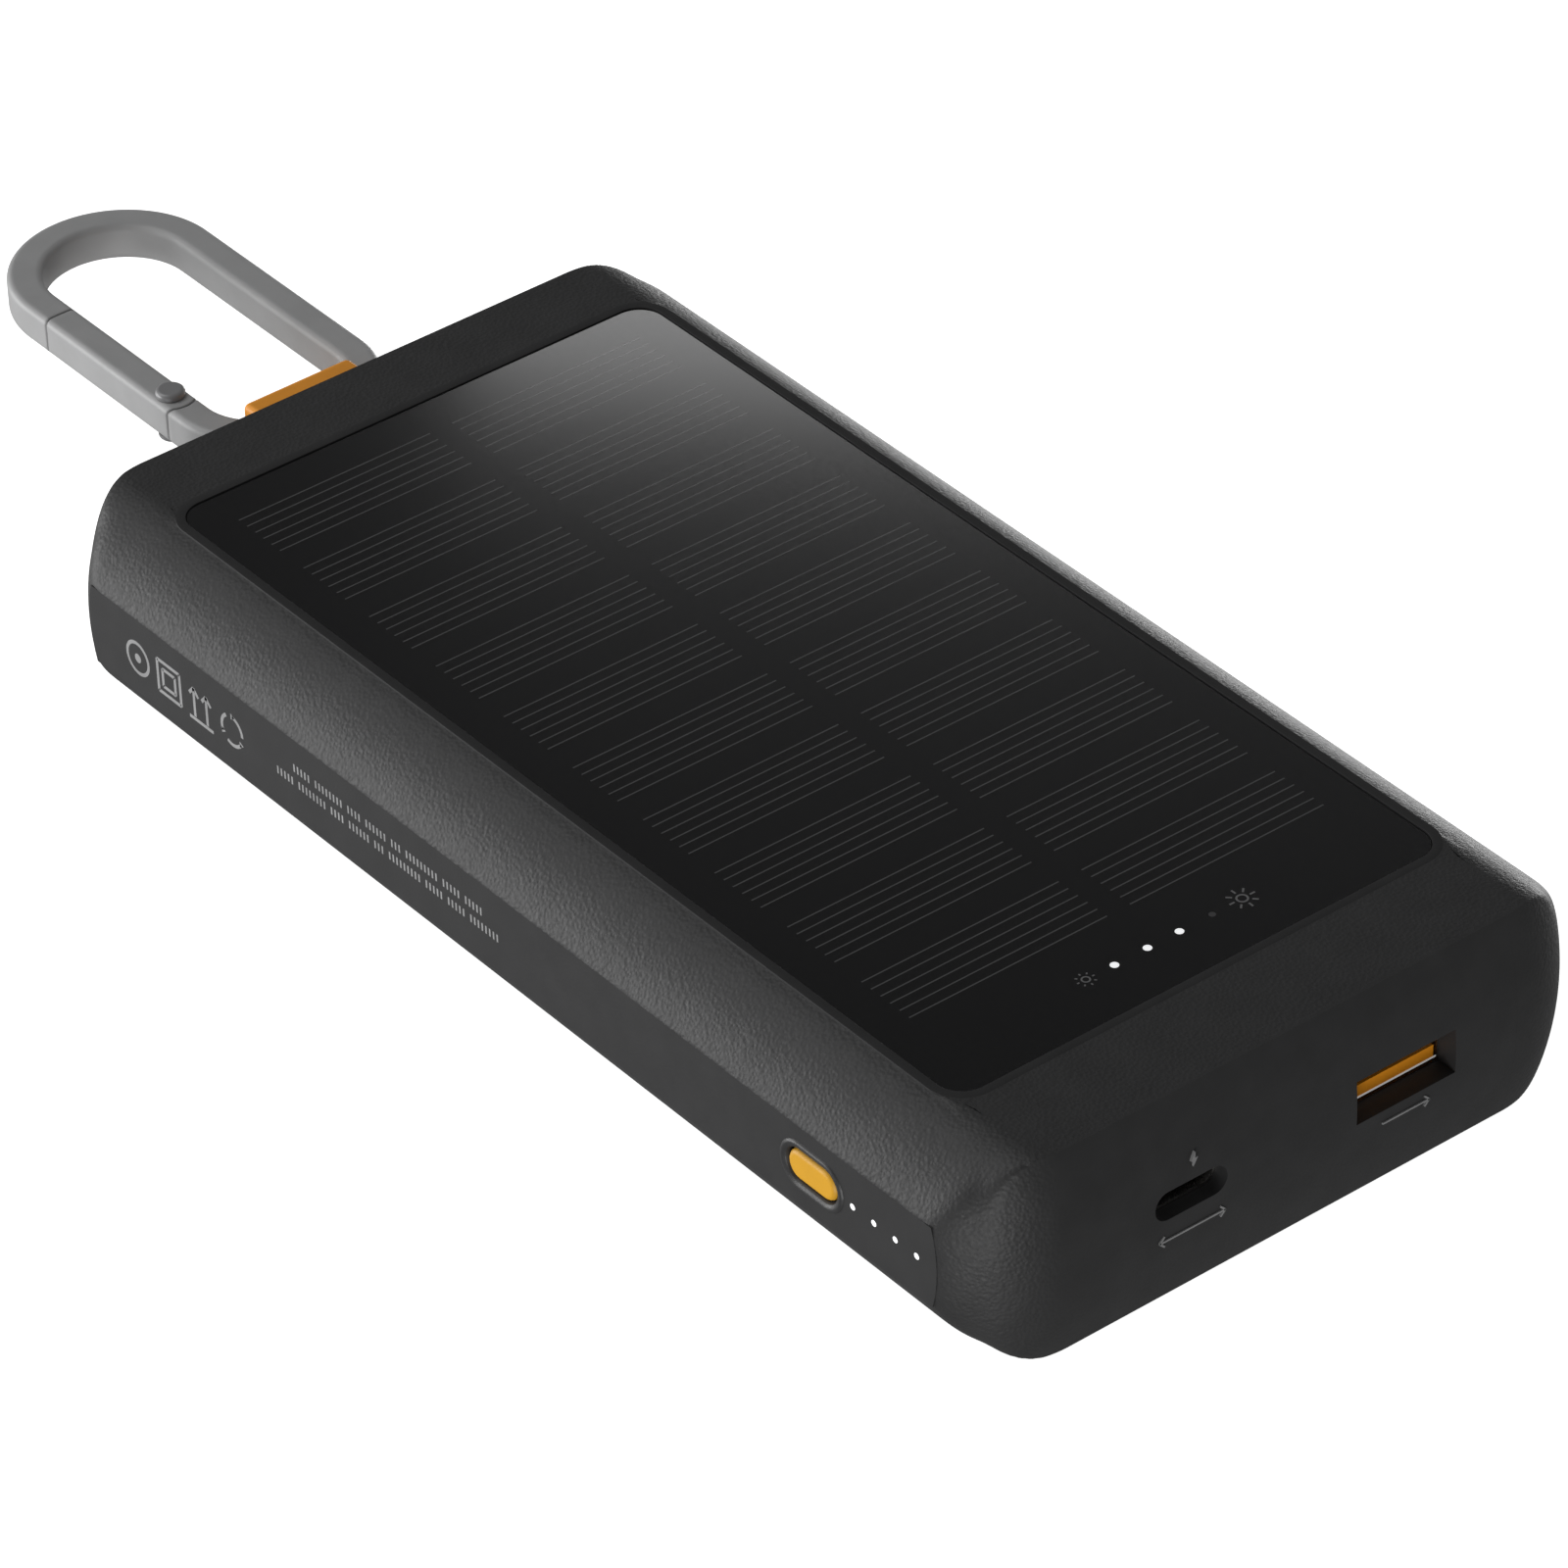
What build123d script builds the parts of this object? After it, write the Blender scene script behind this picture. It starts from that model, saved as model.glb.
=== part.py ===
"""Solar phone charger with a swinging carabiner, one STEP file per piece.

Frame: millimetres, origin at the centre of the underside, +Z up through the
solar panel, -Y towards the port end, +Y towards the carabiner, -X towards the
power button.
"""

import math
import os

from build123d import *

os.makedirs("parts", exist_ok=True)

# ---- housing
HEIGHT = 24.16
MID_Z = HEIGHT / 2
HALF_WIDTH = 40.44
FLAT_HALF = 30.4
SHOULDER_POWER = 1.73
HALF_LENGTH = 75.0
END_BULGE = 1.93
CORNER_R = 10.8
CAVITY_HALF = 36.6
CAVITY_FLAT = 27.5
CAVITY_TOP = 21.0
CAVITY_BOTTOM = 3.2
CAVITY_END = 72.4
FACET_X = 39.2
FACET_DEPTH = 1.0

# ---- solar window
GLASS_HALF = 30.65
GLASS_NEAR = -62.68
GLASS_FAR = 65.0
GLASS_R = 3.0
GLASS_T = 1.1
GLASS_DROP = 0.15
RIM = 1.17
POCKET_FLOOR = 22.0
BACKING_T = 0.6
CELL_T = 0.25
CELL_PITCH = 11.4
CELL_FIRST = 56.24
CELL_COUNT = 10
CELL_INNER = 1.6
CELL_OUTER = 27.1

# ---- ports, on the port end
PORT_Z = 12.7
USB_A_X = 13.3
USB_A_W = 12.7
USB_A_H = 5.2
USB_C_X = -13.95
USB_C_W = 9.0
USB_C_H = 3.3
PLATE_HALF = 27.6
PLATE_Y = -73.4
USB_A_FRONT = -74.27
USB_C_FRONT = -75.1
BOARD_Z = 8.0
BOARD_T = 1.6

# ---- power button and charge lamps, on the -X facet
BUTTON_Y = -50.9
BUTTON_L = 7.3
BUTTON_H = 3.5
BUTTON_GAP = 0.3
BUTTON_PROUD = 0.1
RING_W = 0.9
LAMP_R = 0.38
LAMP_FIRST = -57.1
LAMP_PITCH = 3.2
LAMP_COUNT = 4

# ---- carabiner
RING_HALF = 12.2
BAR_W = 4.0
BAR_T = 4.4
BAR_ROUND = 0.75
RING_FAR_Y = 120.9
RING_NEAR_R = 10.6
RING_NEAR_Y = 91.7
AXIS_Y = 83.9
AXIS_R = 1.7
SHAFT_GAP = 0.05
NECK_HALF = 7.3
LOOP_HALF = 7.0
LOOP_T = 8.6
LOOP_FAR = 87.2
RIVET_X = -(RING_HALF - BAR_W / 2)
RIVET_Y = 96.1
RIVET_R = 0.8
GATE_REACH = 20.85
GATE_GAP = 0.25
TAIL_R = 2.75

# ---- fasteners
BOSS_X = 25.0
BOSS_Y = 65.5
BOSS_R = 2.8
SCREW_R = 0.9


def block(x0, x1, y0, y1, z0, z1):
    """Solid box between two opposite corners."""
    centre = ((x0 + x1) / 2, (y0 + y1) / 2, (z0 + z1) / 2)
    return Pos(*centre) * Box(abs(x1 - x0), abs(y1 - y0), abs(z1 - z0))


def slab(x0, x1, y0, y1, z0, z1, radius):
    """Box with its four upright edges rounded."""
    outline = RectangleRounded(abs(x1 - x0), abs(y1 - y0), radius)
    sketch = Pos((x0 + x1) / 2, (y0 + y1) / 2, z0) * outline
    return extrude(sketch, amount=z1 - z0)


def rod(radius, x, y, z0, z1):
    """Upright cylinder."""
    return Pos(x, y, (z0 + z1) / 2) * Cylinder(radius, z1 - z0)


def rod_x(radius, y, z, x0, x1):
    """Cylinder along X."""
    return Pos((x0 + x1) / 2, y, z) * Rot(0, 90, 0) * Cylinder(radius, abs(x1 - x0))


def rod_y(radius, x, z, y0, y1):
    """Cylinder along Y."""
    return Pos(x, (y0 + y1) / 2, z) * Rot(90, 0, 0) * Cylinder(radius, abs(y1 - y0))


def shoulder_points(half, flat, half_height, steps):
    """Right-hand side outline, top to bottom, of a rounded section."""
    points = []
    for i in range(steps + 1):
        angle = math.pi * i / steps
        reach = abs(math.sin(angle)) ** (2 / SHOULDER_POWER)
        lift = abs(math.cos(angle)) ** (2 / SHOULDER_POWER)
        side = 1 if math.cos(angle) > 0 else -1
        points.append((flat + (half - flat) * reach, side * half_height * lift))
    return points


def rounded_section(half, flat, z_low, z_high, y0, y1):
    """Section with curved sides, extruded along Y."""
    half_height = (z_high - z_low) / 2
    middle = (z_high + z_low) / 2
    right = shoulder_points(half, flat, half_height, 12)
    left = [(-x, z) for x, z in reversed(right)]
    right_side = Spline(*right, tangents=[(1, 0), (-1, 0)])
    left_side = Spline(*left, tangents=[(-1, 0), (1, 0)])
    top = Line(left[-1], right[0])
    base = Line(right[-1], left[0])
    face = make_face([top, right_side, base, left_side])
    placed = Pos(0, y1, middle) * Rot(90, 0, 0) * face
    return extrude(placed, amount=y1 - y0, dir=(0, -1, 0))


def bowed_face(half, bulge):
    """Upright strip from 0 to HEIGHT whose two sides bow outwards."""
    right = ThreePointArc((half, 0), (half + bulge, MID_Z), (half, HEIGHT))
    left = ThreePointArc((-half, HEIGHT), (-half - bulge, MID_Z), (-half, 0))
    base = Line((-half, 0), (half, 0))
    top = Line((half, HEIGHT), (-half, HEIGHT))
    return make_face([base, right, top, left])


def barrel_plan():
    """Rounded rectangle in plan whose four walls bow outwards at mid height."""
    cx = HALF_WIDTH - END_BULGE - CORNER_R
    cy = HALF_LENGTH - CORNER_R
    across = Pos(0, cy, 0) * Rot(90, 0, 0) * bowed_face(cx + CORNER_R, END_BULGE)
    along = Pos(-cx, 0, 0) * Rot(0, 0, 90) * Rot(90, 0, 0)
    along = along * bowed_face(cy + CORNER_R, END_BULGE)
    body = extrude(across, amount=2 * cy, dir=(0, -1, 0))
    body = body + extrude(along, amount=2 * cx, dir=(1, 0, 0))
    arc = ThreePointArc((CORNER_R, 0), (CORNER_R + END_BULGE, MID_Z), (CORNER_R, HEIGHT))
    half = make_face([Line((0, 0), (CORNER_R, 0)), arc, Line((CORNER_R, HEIGHT), (0, HEIGHT)),
                      Line((0, HEIGHT), (0, 0))])
    post = revolve(Rot(90, 0, 0) * half, Axis.Z)
    for sx in (-1, 1):
        for sy in (-1, 1):
            body = body + Pos(sx * cx, sy * cy, 0) * post
    return body


def save(shape, node):
    """Write one node."""
    shape.label = node
    export_step(shape, "parts/" + node + ".step")


# ================================================================ outer form
outer = rounded_section(HALF_WIDTH, FLAT_HALF, 0, HEIGHT, -80, 80) & barrel_plan()
outer = outer & block(-FACET_X, FACET_X, -80, 80, -1, HEIGHT + 1)
facet_right = outer.faces().filter_by(Axis.X).sort_by(Axis.X)[-1]
facet_left = outer.faces().filter_by(Axis.X).sort_by(Axis.X)[0]
strip_right = extrude(facet_right, amount=FACET_DEPTH, dir=(-1, 0, 0))
strip_left = extrude(facet_left, amount=FACET_DEPTH, dir=(1, 0, 0))
rim = slab(-GLASS_HALF - RIM, GLASS_HALF + RIM, GLASS_NEAR - RIM, GLASS_FAR + RIM,
           HEIGHT - 1.6, HEIGHT, GLASS_R + RIM)

# ---- port end plate: flat middle of the end, under the top skin
plate_zone = block(-PLATE_HALF, PLATE_HALF, -80, PLATE_Y, -1, HEIGHT - 0.7)
end_plate = outer & plate_zone
housing = (outer + rim) - plate_zone - strip_left - strip_right

# ---- inside of the housing
cavity = rounded_section(CAVITY_HALF, CAVITY_FLAT, CAVITY_BOTTOM, CAVITY_TOP,
                         -CAVITY_END + 0.6, CAVITY_END)
cavity = cavity & slab(-CAVITY_HALF, CAVITY_HALF, -CAVITY_END + 0.6, CAVITY_END, 0, HEIGHT, 4.0)
housing = housing - cavity
housing = housing - slab(-28.2, 28.2, -70.0, 70.0, -1, 2.0, 4.0)
housing = housing - slab(-26.4, 26.4, -68.2, 68.2, 1.9, CAVITY_BOTTOM + 1, 3.0)
pocket = slab(-GLASS_HALF - 0.1, GLASS_HALF + 0.1, GLASS_NEAR - 0.1, GLASS_FAR + 0.1,
              POCKET_FLOOR, HEIGHT + 1, GLASS_R + 0.1)
housing = housing - pocket
housing = housing - slab(-9.0, 9.0, -46.0, -38.0, CAVITY_TOP - 1, POCKET_FLOOR + 1, 2.0)

# ---- bosses for the cover screws
for sx in (-1, 1):
    for sy in (-1, 1):
        boss = rod(BOSS_R, sx * BOSS_X, sy * BOSS_Y, 2.0, CAVITY_TOP + 0.4)
        boss = boss & block(-40, 40, -71.6, 72.2, 2.0, CAVITY_TOP + 0.4)
        housing = housing + boss
        housing = housing - rod(SCREW_R, sx * BOSS_X, sy * BOSS_Y, 1.9, 11.0)

# ---- openings through the side wall for the button and the lamps
button_hole = Pos(0, BUTTON_Y, MID_Z) * Rot(0, -90, 0) * SlotOverall(
    BUTTON_L + 2 * BUTTON_GAP, BUTTON_H + 2 * BUTTON_GAP, rotation=90)
button_well = extrude(button_hole, amount=50, dir=(-1, 0, 0)) & block(-45, -33, -60, -40, 0, HEIGHT)
ring_hole = Pos(0, BUTTON_Y, MID_Z) * Rot(0, -90, 0) * SlotOverall(
    BUTTON_L + 2 * BUTTON_GAP + 2 * RING_W, BUTTON_H + 2 * BUTTON_GAP + 2 * RING_W, rotation=90)
ring_well = extrude(ring_hole, amount=50, dir=(-1, 0, 0)) & block(-45, -38.2, -60, -40, 0, HEIGHT)
housing = housing - button_well
lamp_positions = [LAMP_FIRST - LAMP_PITCH * i for i in range(LAMP_COUNT)]
strip_button = strip_left - ring_well
for y in lamp_positions:
    housing = housing - rod_x(LAMP_R + 0.25, y, MID_Z, -38.3, -35.0)
    strip_button = strip_button - rod_x(LAMP_R, y, MID_Z, -40.0, -37.0)

# ---- slots through the end plate for the sockets
a_hole = block(USB_A_X - USB_A_W / 2, USB_A_X + USB_A_W / 2, -80, -71,
               PORT_Z - USB_A_H / 2, PORT_Z + USB_A_H / 2)
c_face = Pos(USB_C_X, -80, PORT_Z) * Rot(90, 0, 0) * SlotOverall(USB_C_W, USB_C_H)
c_hole = extrude(c_face, amount=9, dir=(0, 1, 0))
a_room = block(USB_A_X - 7.2, USB_A_X + 7.2, USB_A_FRONT - 0.03, -71.0, PORT_Z - 3.3, PORT_Z + 3.3)
c_room = block(USB_C_X - 5.2, USB_C_X + 5.2, -73.5, -71.0, PORT_Z - 2.4, PORT_Z + 2.4)
end_plate = end_plate - a_hole - c_hole - a_room
housing = housing - a_room - c_room

# ---- slot for the carabiner loop at the far end
loop_slot = block(-LOOP_HALF - 0.05, LOOP_HALF + 0.05, 70.0, 80.0,
                  MID_Z - LOOP_T / 2 - 0.05, MID_Z + LOOP_T / 2 + 0.05)
housing = housing - loop_slot

save(housing, "housing_shell")
save(end_plate, "port_end_plate")
save(strip_button, "side_strip_button_side")
save(strip_right, "side_strip_plain_side")

# ================================================================ underside
cover = slab(-28.1, 28.1, -69.9, 69.9, 0, 1.95, 3.9)
feet = []
for sx in (-1, 1):
    for sy in (-1, 1):
        x, y = sx * BOSS_X, sy * BOSS_Y
        cover = cover - rod(2.4, x, y, -1, 0.9)
        cover = cover - rod(SCREW_R + 0.1, x, y, 0.5, 3.0)
        feet.append((sx, sy, x, y))
save(cover, "bottom_cover")
for sx, sy, x, y in feet:
    side = ("left" if sx < 0 else "right") + ("_port_end" if sy < 0 else "_far_end")
    screw = rod(SCREW_R, x, y, 0.85, 9.0) + rod(1.7, x, y, 0.5, 0.9)
    screw = screw - Pos(x, y, 0.5) * extrude(RegularPolygon(0.7, 6), amount=0.25)
    save(screw, "cover_screw_" + side)
    plug = rod(2.35, x, y, 0.0, 0.5)
    save(plug, "screw_plug_" + side)

# ================================================================ solar panel
glass = slab(-GLASS_HALF, GLASS_HALF, GLASS_NEAR, GLASS_FAR,
             HEIGHT - GLASS_DROP - GLASS_T, HEIGHT - GLASS_DROP, GLASS_R)
save(glass, "solar_glass")
backing = slab(-GLASS_HALF + 0.3, GLASS_HALF - 0.3, GLASS_NEAR + 0.3, GLASS_FAR - 0.3,
               POCKET_FLOOR, POCKET_FLOOR + BACKING_T, GLASS_R - 0.3)
save(backing, "solar_backing_board")
cell_low = POCKET_FLOOR + BACKING_T
glass_low = HEIGHT - GLASS_DROP - GLASS_T
bond = slab(-GLASS_HALF + 0.3, GLASS_HALF - 0.3, GLASS_NEAR + 0.3, GLASS_FAR - 0.3,
            cell_low, glass_low, GLASS_R - 0.3)
bond = bond - slab(-GLASS_HALF + 2.3, GLASS_HALF - 2.3, GLASS_NEAR + 2.3, GLASS_FAR - 2.3,
                   cell_low - 1, glass_low + 1, GLASS_R - 2.3)
save(bond, "glass_bond_frame")
cell_start = CELL_FIRST + CELL_PITCH / 2
cell_end = cell_start - CELL_PITCH * CELL_COUNT
for sx, name in ((-1, "left"), (1, "right")):
    column = block(sx * CELL_INNER, sx * CELL_OUTER, cell_end + 0.3, cell_start - 0.3,
                   cell_low, cell_low + CELL_T)
    for i in range(1, CELL_COUNT):
        y = cell_start - CELL_PITCH * i
        column = column - block(-30, 30, y - 0.25, y + 0.25, cell_low + 0.12, cell_low + 1)
    save(column, "solar_cells_" + name)
ribbon = block(-0.9, 0.9, cell_end + 2.0, cell_start - 2.0, cell_low, cell_low + 0.12)
save(ribbon, "solar_collector_ribbon")
sun_lamps = block(-8.0, 8.0, -58.2, -54.9, cell_low, cell_low + 0.25)
save(sun_lamps, "sun_meter_lamp_bar")

# ================================================================ sockets
a_body = block(USB_A_X - 6.65, USB_A_X + 6.65, USB_A_FRONT, -60.0, PORT_Z - 2.9, PORT_Z + 2.9)
a_inner = block(USB_A_X - 6.3, USB_A_X + 6.3, -75, -60.4, PORT_Z - 2.56, PORT_Z + 2.56)
save(a_body - a_inner, "usb_a_shell")
a_tongue = block(USB_A_X - 5.9, USB_A_X + 5.9, USB_A_FRONT + 0.1, -60.45, PORT_Z - 2.1, PORT_Z - 0.6)
a_tongue = a_tongue + block(USB_A_X - 6.25, USB_A_X + 6.25, -62.0, -60.45, PORT_Z - 2.5, PORT_Z + 2.5)
save(a_tongue, "usb_a_tongue")
a_pads = None
for i in range(4):
    x = USB_A_X - 3.5 + 7.0 * i / 3
    pad = block(x - 0.5, x + 0.5, -72.8, -62.1, PORT_Z - 0.6, PORT_Z - 0.45)
    a_pads = pad if a_pads is None else a_pads + pad
a_bus = block(USB_A_X - 4.0, USB_A_X + 4.0, -62.6, -62.1, PORT_Z - 0.45, PORT_Z - 0.25)
save(a_pads + a_bus, "usb_a_contacts")
c_outer = Pos(USB_C_X, USB_C_FRONT, PORT_Z) * Rot(90, 0, 0) * SlotOverall(8.94, 3.2)
c_inner = Pos(USB_C_X, USB_C_FRONT - 1, PORT_Z) * Rot(90, 0, 0) * SlotOverall(8.4, 2.66)
c_length = -65.4 - USB_C_FRONT
c_shell = extrude(c_outer, amount=c_length + 0.45, dir=(0, 1, 0))
c_shell = c_shell - extrude(c_inner, amount=c_length + 1, dir=(0, 1, 0))
save(c_shell, "usb_c_shell")
c_tongue = block(USB_C_X - 3.3, USB_C_X + 3.3, USB_C_FRONT + 0.7, -65.4, PORT_Z - 0.35, PORT_Z + 0.35)
c_back = Pos(USB_C_X, -66.4, PORT_Z) * Rot(90, 0, 0) * SlotOverall(8.3, 2.56)
c_tongue = c_tongue + extrude(c_back, amount=1.0, dir=(0, 1, 0))
save(c_tongue, "usb_c_tongue")
c_riser = block(USB_C_X - 4.4, USB_C_X + 4.4, -71.0, -65.0, BOARD_Z + BOARD_T, PORT_Z - 1.6)
save(c_riser, "usb_c_riser")

# ================================================================ electronics
board = slab(-31.0, 31.0, -71.0, -34.0, BOARD_Z, BOARD_Z + BOARD_T, 2.0)
for sx in (-1, 1):
    board = board - rod(BOSS_R + 0.3, sx * BOSS_X, -BOSS_Y, BOARD_Z - 1, BOARD_Z + BOARD_T + 1)
save(board, "main_board")
board_top = BOARD_Z + BOARD_T
save(slab(-4.0, 4.0, -50.0, -42.0, board_top, board_top + 1.0, 0.4), "charge_controller")
save(slab(-18.0, -10.0, -56.0, -48.0, board_top, board_top + 4.2, 1.2), "boost_inductor")
save(slab(10.0, 16.0, -50.0, -44.0, board_top, board_top + 3.2, 1.0), "solar_inductor")
save(rod(2.5, 23.0, -50.0, board_top, board_top + 5.4), "output_capacitor")
save(rod(2.5, 23.0, -42.0, board_top, board_top + 5.4), "solar_capacitor")
save(block(-26.0, -21.0, -46.0, -40.0, board_top, board_top + 3.0), "battery_connector")

# ---- side board with the switch and the lamps
side_board = block(-34.6, -33.6, -69.5, -46.0, 7.6, 16.6)
save(side_board, "side_board")
switch_body = block(-36.1, -34.6, BUTTON_Y - 2.2, BUTTON_Y + 2.2, MID_Z - 2.2, MID_Z + 2.2)
save(switch_body, "tact_switch_body")
lamp_bar = block(-34.9, -34.6, lamp_positions[-1] - 0.9, LAMP_FIRST + 0.9, MID_Z - 0.8, MID_Z + 0.8)
for y in lamp_positions:
    lamp_bar = lamp_bar + block(-35.4, -34.6, y - 0.8, y + 0.8, MID_Z - 0.5, MID_Z + 0.5)
save(lamp_bar, "charge_lamp_bar")
guides = block(-36.2, -35.5, lamp_positions[-1] - 0.9, LAMP_FIRST + 0.9, MID_Z - 1.0, MID_Z + 1.0)
for y in lamp_positions:
    guides = guides + rod_x(LAMP_R - 0.02, y, MID_Z, -FACET_X, -36.0)
save(guides, "charge_lamp_light_guides")

# ---- power button on its own body
ring = (extrude(ring_hole, amount=50, dir=(-1, 0, 0)) & block(-FACET_X + 0.25, -38.2, -60, -40, 0, 30))
ring = ring - button_well
save(ring, "button_surround")
button_outline = Pos(0, BUTTON_Y, MID_Z) * Rot(0, -90, 0) * SlotOverall(BUTTON_L, BUTTON_H, rotation=90)
button_cap = extrude(button_outline, amount=50, dir=(-1, 0, 0))
button_cap = button_cap & block(-FACET_X - BUTTON_PROUD, -37.1, -60, -40, 0, 30)
button_cap = fillet(button_cap.faces().sort_by(Axis.X)[0].edges(), 0.6)
save(button_cap, "power_button_cap")
plunger = rod_x(0.9, BUTTON_Y, MID_Z, -37.1, -36.85)
save(plunger, "power_button_stem")

# ================================================================ battery
cell_y0, cell_y1 = -30.0, 60.0
for sx, side in ((-1, "left"), (1, "right")):
    for z0, level in ((3.9, "lower"), (11.9, "upper")):
        pouch = block(sx * 0.8, sx * 31.0, cell_y0, cell_y1, z0, z0 + 7.4)
        pouch = fillet(pouch.edges().filter_by(Axis.Y), 1.5)
        save(pouch, "battery_cell_" + side + "_" + level)
pad_mid = block(-30.0, 30.0, -28.0, 58.0, 11.3, 11.9)
save(pad_mid, "battery_foam_middle")
pad_top = block(-27.0, 27.0, -26.0, 56.0, 19.3, CAVITY_TOP)
save(pad_top, "battery_foam_top")
pad_low = block(-26.0, 26.0, -26.0, 56.0, 1.95, 3.9)
save(pad_low, "battery_foam_bottom")
guard = block(-24.0, 24.0, -32.6, -31.4, 6.0, 17.0)
save(guard, "battery_guard_board")
for sx, side in ((-1, "left"), (1, "right")):
    tab = block(sx * 8.0, sx * 14.0, -31.4, cell_y0, 6.5, 7.0)
    tab = tab + block(sx * 8.0, sx * 14.0, -31.4, cell_y0, 15.5, 16.0)
    tab = tab + block(sx * 8.0, sx * 14.0, -31.4, -31.1, 6.5, 16.0)
    save(tab, "battery_tabs_" + side)

# ================================================================ carabiner loop
loop_profile = Pos(0, 0, MID_Z) * block(-LOOP_HALF, LOOP_HALF, 66.5, LOOP_FAR, -LOOP_T / 2, LOOP_T / 2)
loop = fillet(loop_profile.edges().filter_by(Axis.X).sort_by(Axis.Y)[-2:], 0.9)
side_edges = [e for e in loop.edges() if abs(abs(e.center().X) - LOOP_HALF) < 0.01 and e.center().Y > 70]
loop = fillet(side_edges, 0.7)
loop = loop - rod_x(AXIS_R + SHAFT_GAP, AXIS_Y, MID_Z, -LOOP_HALF - 1, LOOP_HALF + 1)
loop = loop - rod_x(1.3, 69.2, MID_Z, -LOOP_HALF - 1, LOOP_HALF + 1)
save(loop, "carabiner_loop")
anchor_pin = rod_x(1.3, 69.2, MID_Z, -11.0, 11.0)
save(anchor_pin, "loop_anchor_pin")
anchor = block(-11.0, 11.0, 64.0, 72.3, 5.4, 18.8)
anchor = anchor - block(-LOOP_HALF - 0.05, LOOP_HALF + 0.05, 66.4, 73.0,
                        MID_Z - LOOP_T / 2 - 0.05, MID_Z + LOOP_T / 2 + 0.05)
anchor = anchor - rod_x(1.3, 69.2, MID_Z, -12, 12)
save(anchor, "loop_anchor_block")


def ring_bar(centre_half, bar_w, bar_t, edge):
    """Closed rounded loop of the carabiner, flat on the mid plane."""
    outer_w = centre_half + bar_w / 2
    inner_w = centre_half - bar_w / 2
    near_x = RING_HALF - RING_NEAR_R
    result = None
    for reach in (outer_w, inner_w):
        near_r = reach - near_x
        far = ThreePointArc((reach, RING_FAR_Y), (0, RING_FAR_Y + reach), (-reach, RING_FAR_Y))
        left = Line((-reach, RING_FAR_Y), (-reach, RING_NEAR_Y))
        diag = near_r * math.sqrt(0.5)
        left_bend = ThreePointArc((-reach, RING_NEAR_Y), (-near_x - diag, RING_NEAR_Y - diag),
                                  (-near_x, RING_NEAR_Y - near_r))
        base = Line((-near_x, RING_NEAR_Y - near_r), (near_x, RING_NEAR_Y - near_r))
        right_bend = ThreePointArc((near_x, RING_NEAR_Y - near_r), (near_x + diag, RING_NEAR_Y - diag),
                                   (reach, RING_NEAR_Y))
        right = Line((reach, RING_NEAR_Y), (reach, RING_FAR_Y))
        face = make_face([far, left, left_bend, base, right_bend, right])
        solid = extrude(Pos(0, 0, MID_Z - bar_t / 2) * face, amount=bar_t)
        result = solid if result is None else result - solid
    rounded = [e for e in result.edges() if abs(abs(e.center().Z - MID_Z) - bar_t / 2) < 0.01]
    return fillet(rounded, edge)


whole = ring_bar(RING_HALF - BAR_W / 2, BAR_W, BAR_T, BAR_ROUND)
gate_zone = block(-RING_HALF - 1, RIVET_X + BAR_W / 2 + 1, RIVET_Y, RIVET_Y + 30, 0, 30)
gate_zone = gate_zone & rod(GATE_REACH, RIVET_X, RIVET_Y, 0, 30)
tail = rod(TAIL_R, RIVET_X, RIVET_Y, 0, 30)
gate = whole & (gate_zone + tail)
nose_room = rod(GATE_REACH + GATE_GAP, RIVET_X, RIVET_Y, 0, 30)
nose_room = nose_room & block(-RING_HALF - 1, RIVET_X + BAR_W / 2 + 1, RIVET_Y, RIVET_Y + 30, 0, 30)
tail_room = rod(TAIL_R + GATE_GAP, RIVET_X, RIVET_Y, 0, 30)
frame = whole - nose_room - tail_room
frame = frame - block(-NECK_HALF, NECK_HALF, 75, 90, 0, 30)
tongue = slab(RIVET_X - 1.2, RIVET_X + 1.2, RIVET_Y - 5.0, RIVET_Y + 1.2, MID_Z - 0.7, MID_Z + 0.7, 1.15)
frame = frame + tongue
frame = frame - rod(RIVET_R, RIVET_X, RIVET_Y, 0, 30)
frame = frame - rod_x(1.2, AXIS_Y, MID_Z, -10.2, 10.2)
fork = block(RIVET_X - 1.5, RIVET_X + BAR_W / 2 + 1, RIVET_Y - 4, RIVET_Y + 2.0, MID_Z - 1.0, MID_Z + 1.0)
gate = gate - fork
gate = gate - rod(RIVET_R + SHAFT_GAP, RIVET_X, RIVET_Y, 0, 30)
pocket_cut = block(RIVET_X - 0.7, RIVET_X + 0.7, RIVET_Y + 2.1, RIVET_Y + 8.0, MID_Z - 0.7, MID_Z + 0.7)
gate = gate - pocket_cut
pieces = frame.solids().sort_by(SortBy.VOLUME)
save(pieces[-1], "carabiner_frame")
save(pieces[0], "carabiner_pivot_arm")
save(gate, "carabiner_gate")
spring = block(RIVET_X - 0.15, RIVET_X + 0.15, RIVET_Y + 2.6, RIVET_Y + 7.8, MID_Z - 0.5, MID_Z + 0.5)
spring = spring + rod(0.6, RIVET_X, RIVET_Y + 7.2, MID_Z - 0.65, MID_Z + 0.65)
save(spring, "gate_spring")
half_t = BAR_T / 2
rivet = rod(RIVET_R, RIVET_X, RIVET_Y, MID_Z - half_t - 0.1, MID_Z + half_t + 0.1)
for sz in (-1, 1):
    z_in = MID_Z + sz * (half_t + 0.1)
    head = rod(1.65, RIVET_X, RIVET_Y, min(z_in, z_in + sz * 0.75), max(z_in, z_in + sz * 0.75))
    rim_edges = head.edges().filter_by(GeomType.CIRCLE).sort_by(Axis.Z)
    head = fillet([rim_edges[-1] if sz > 0 else rim_edges[0]], 0.5)
    rivet = rivet + head
save(rivet, "gate_rivet")
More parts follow.
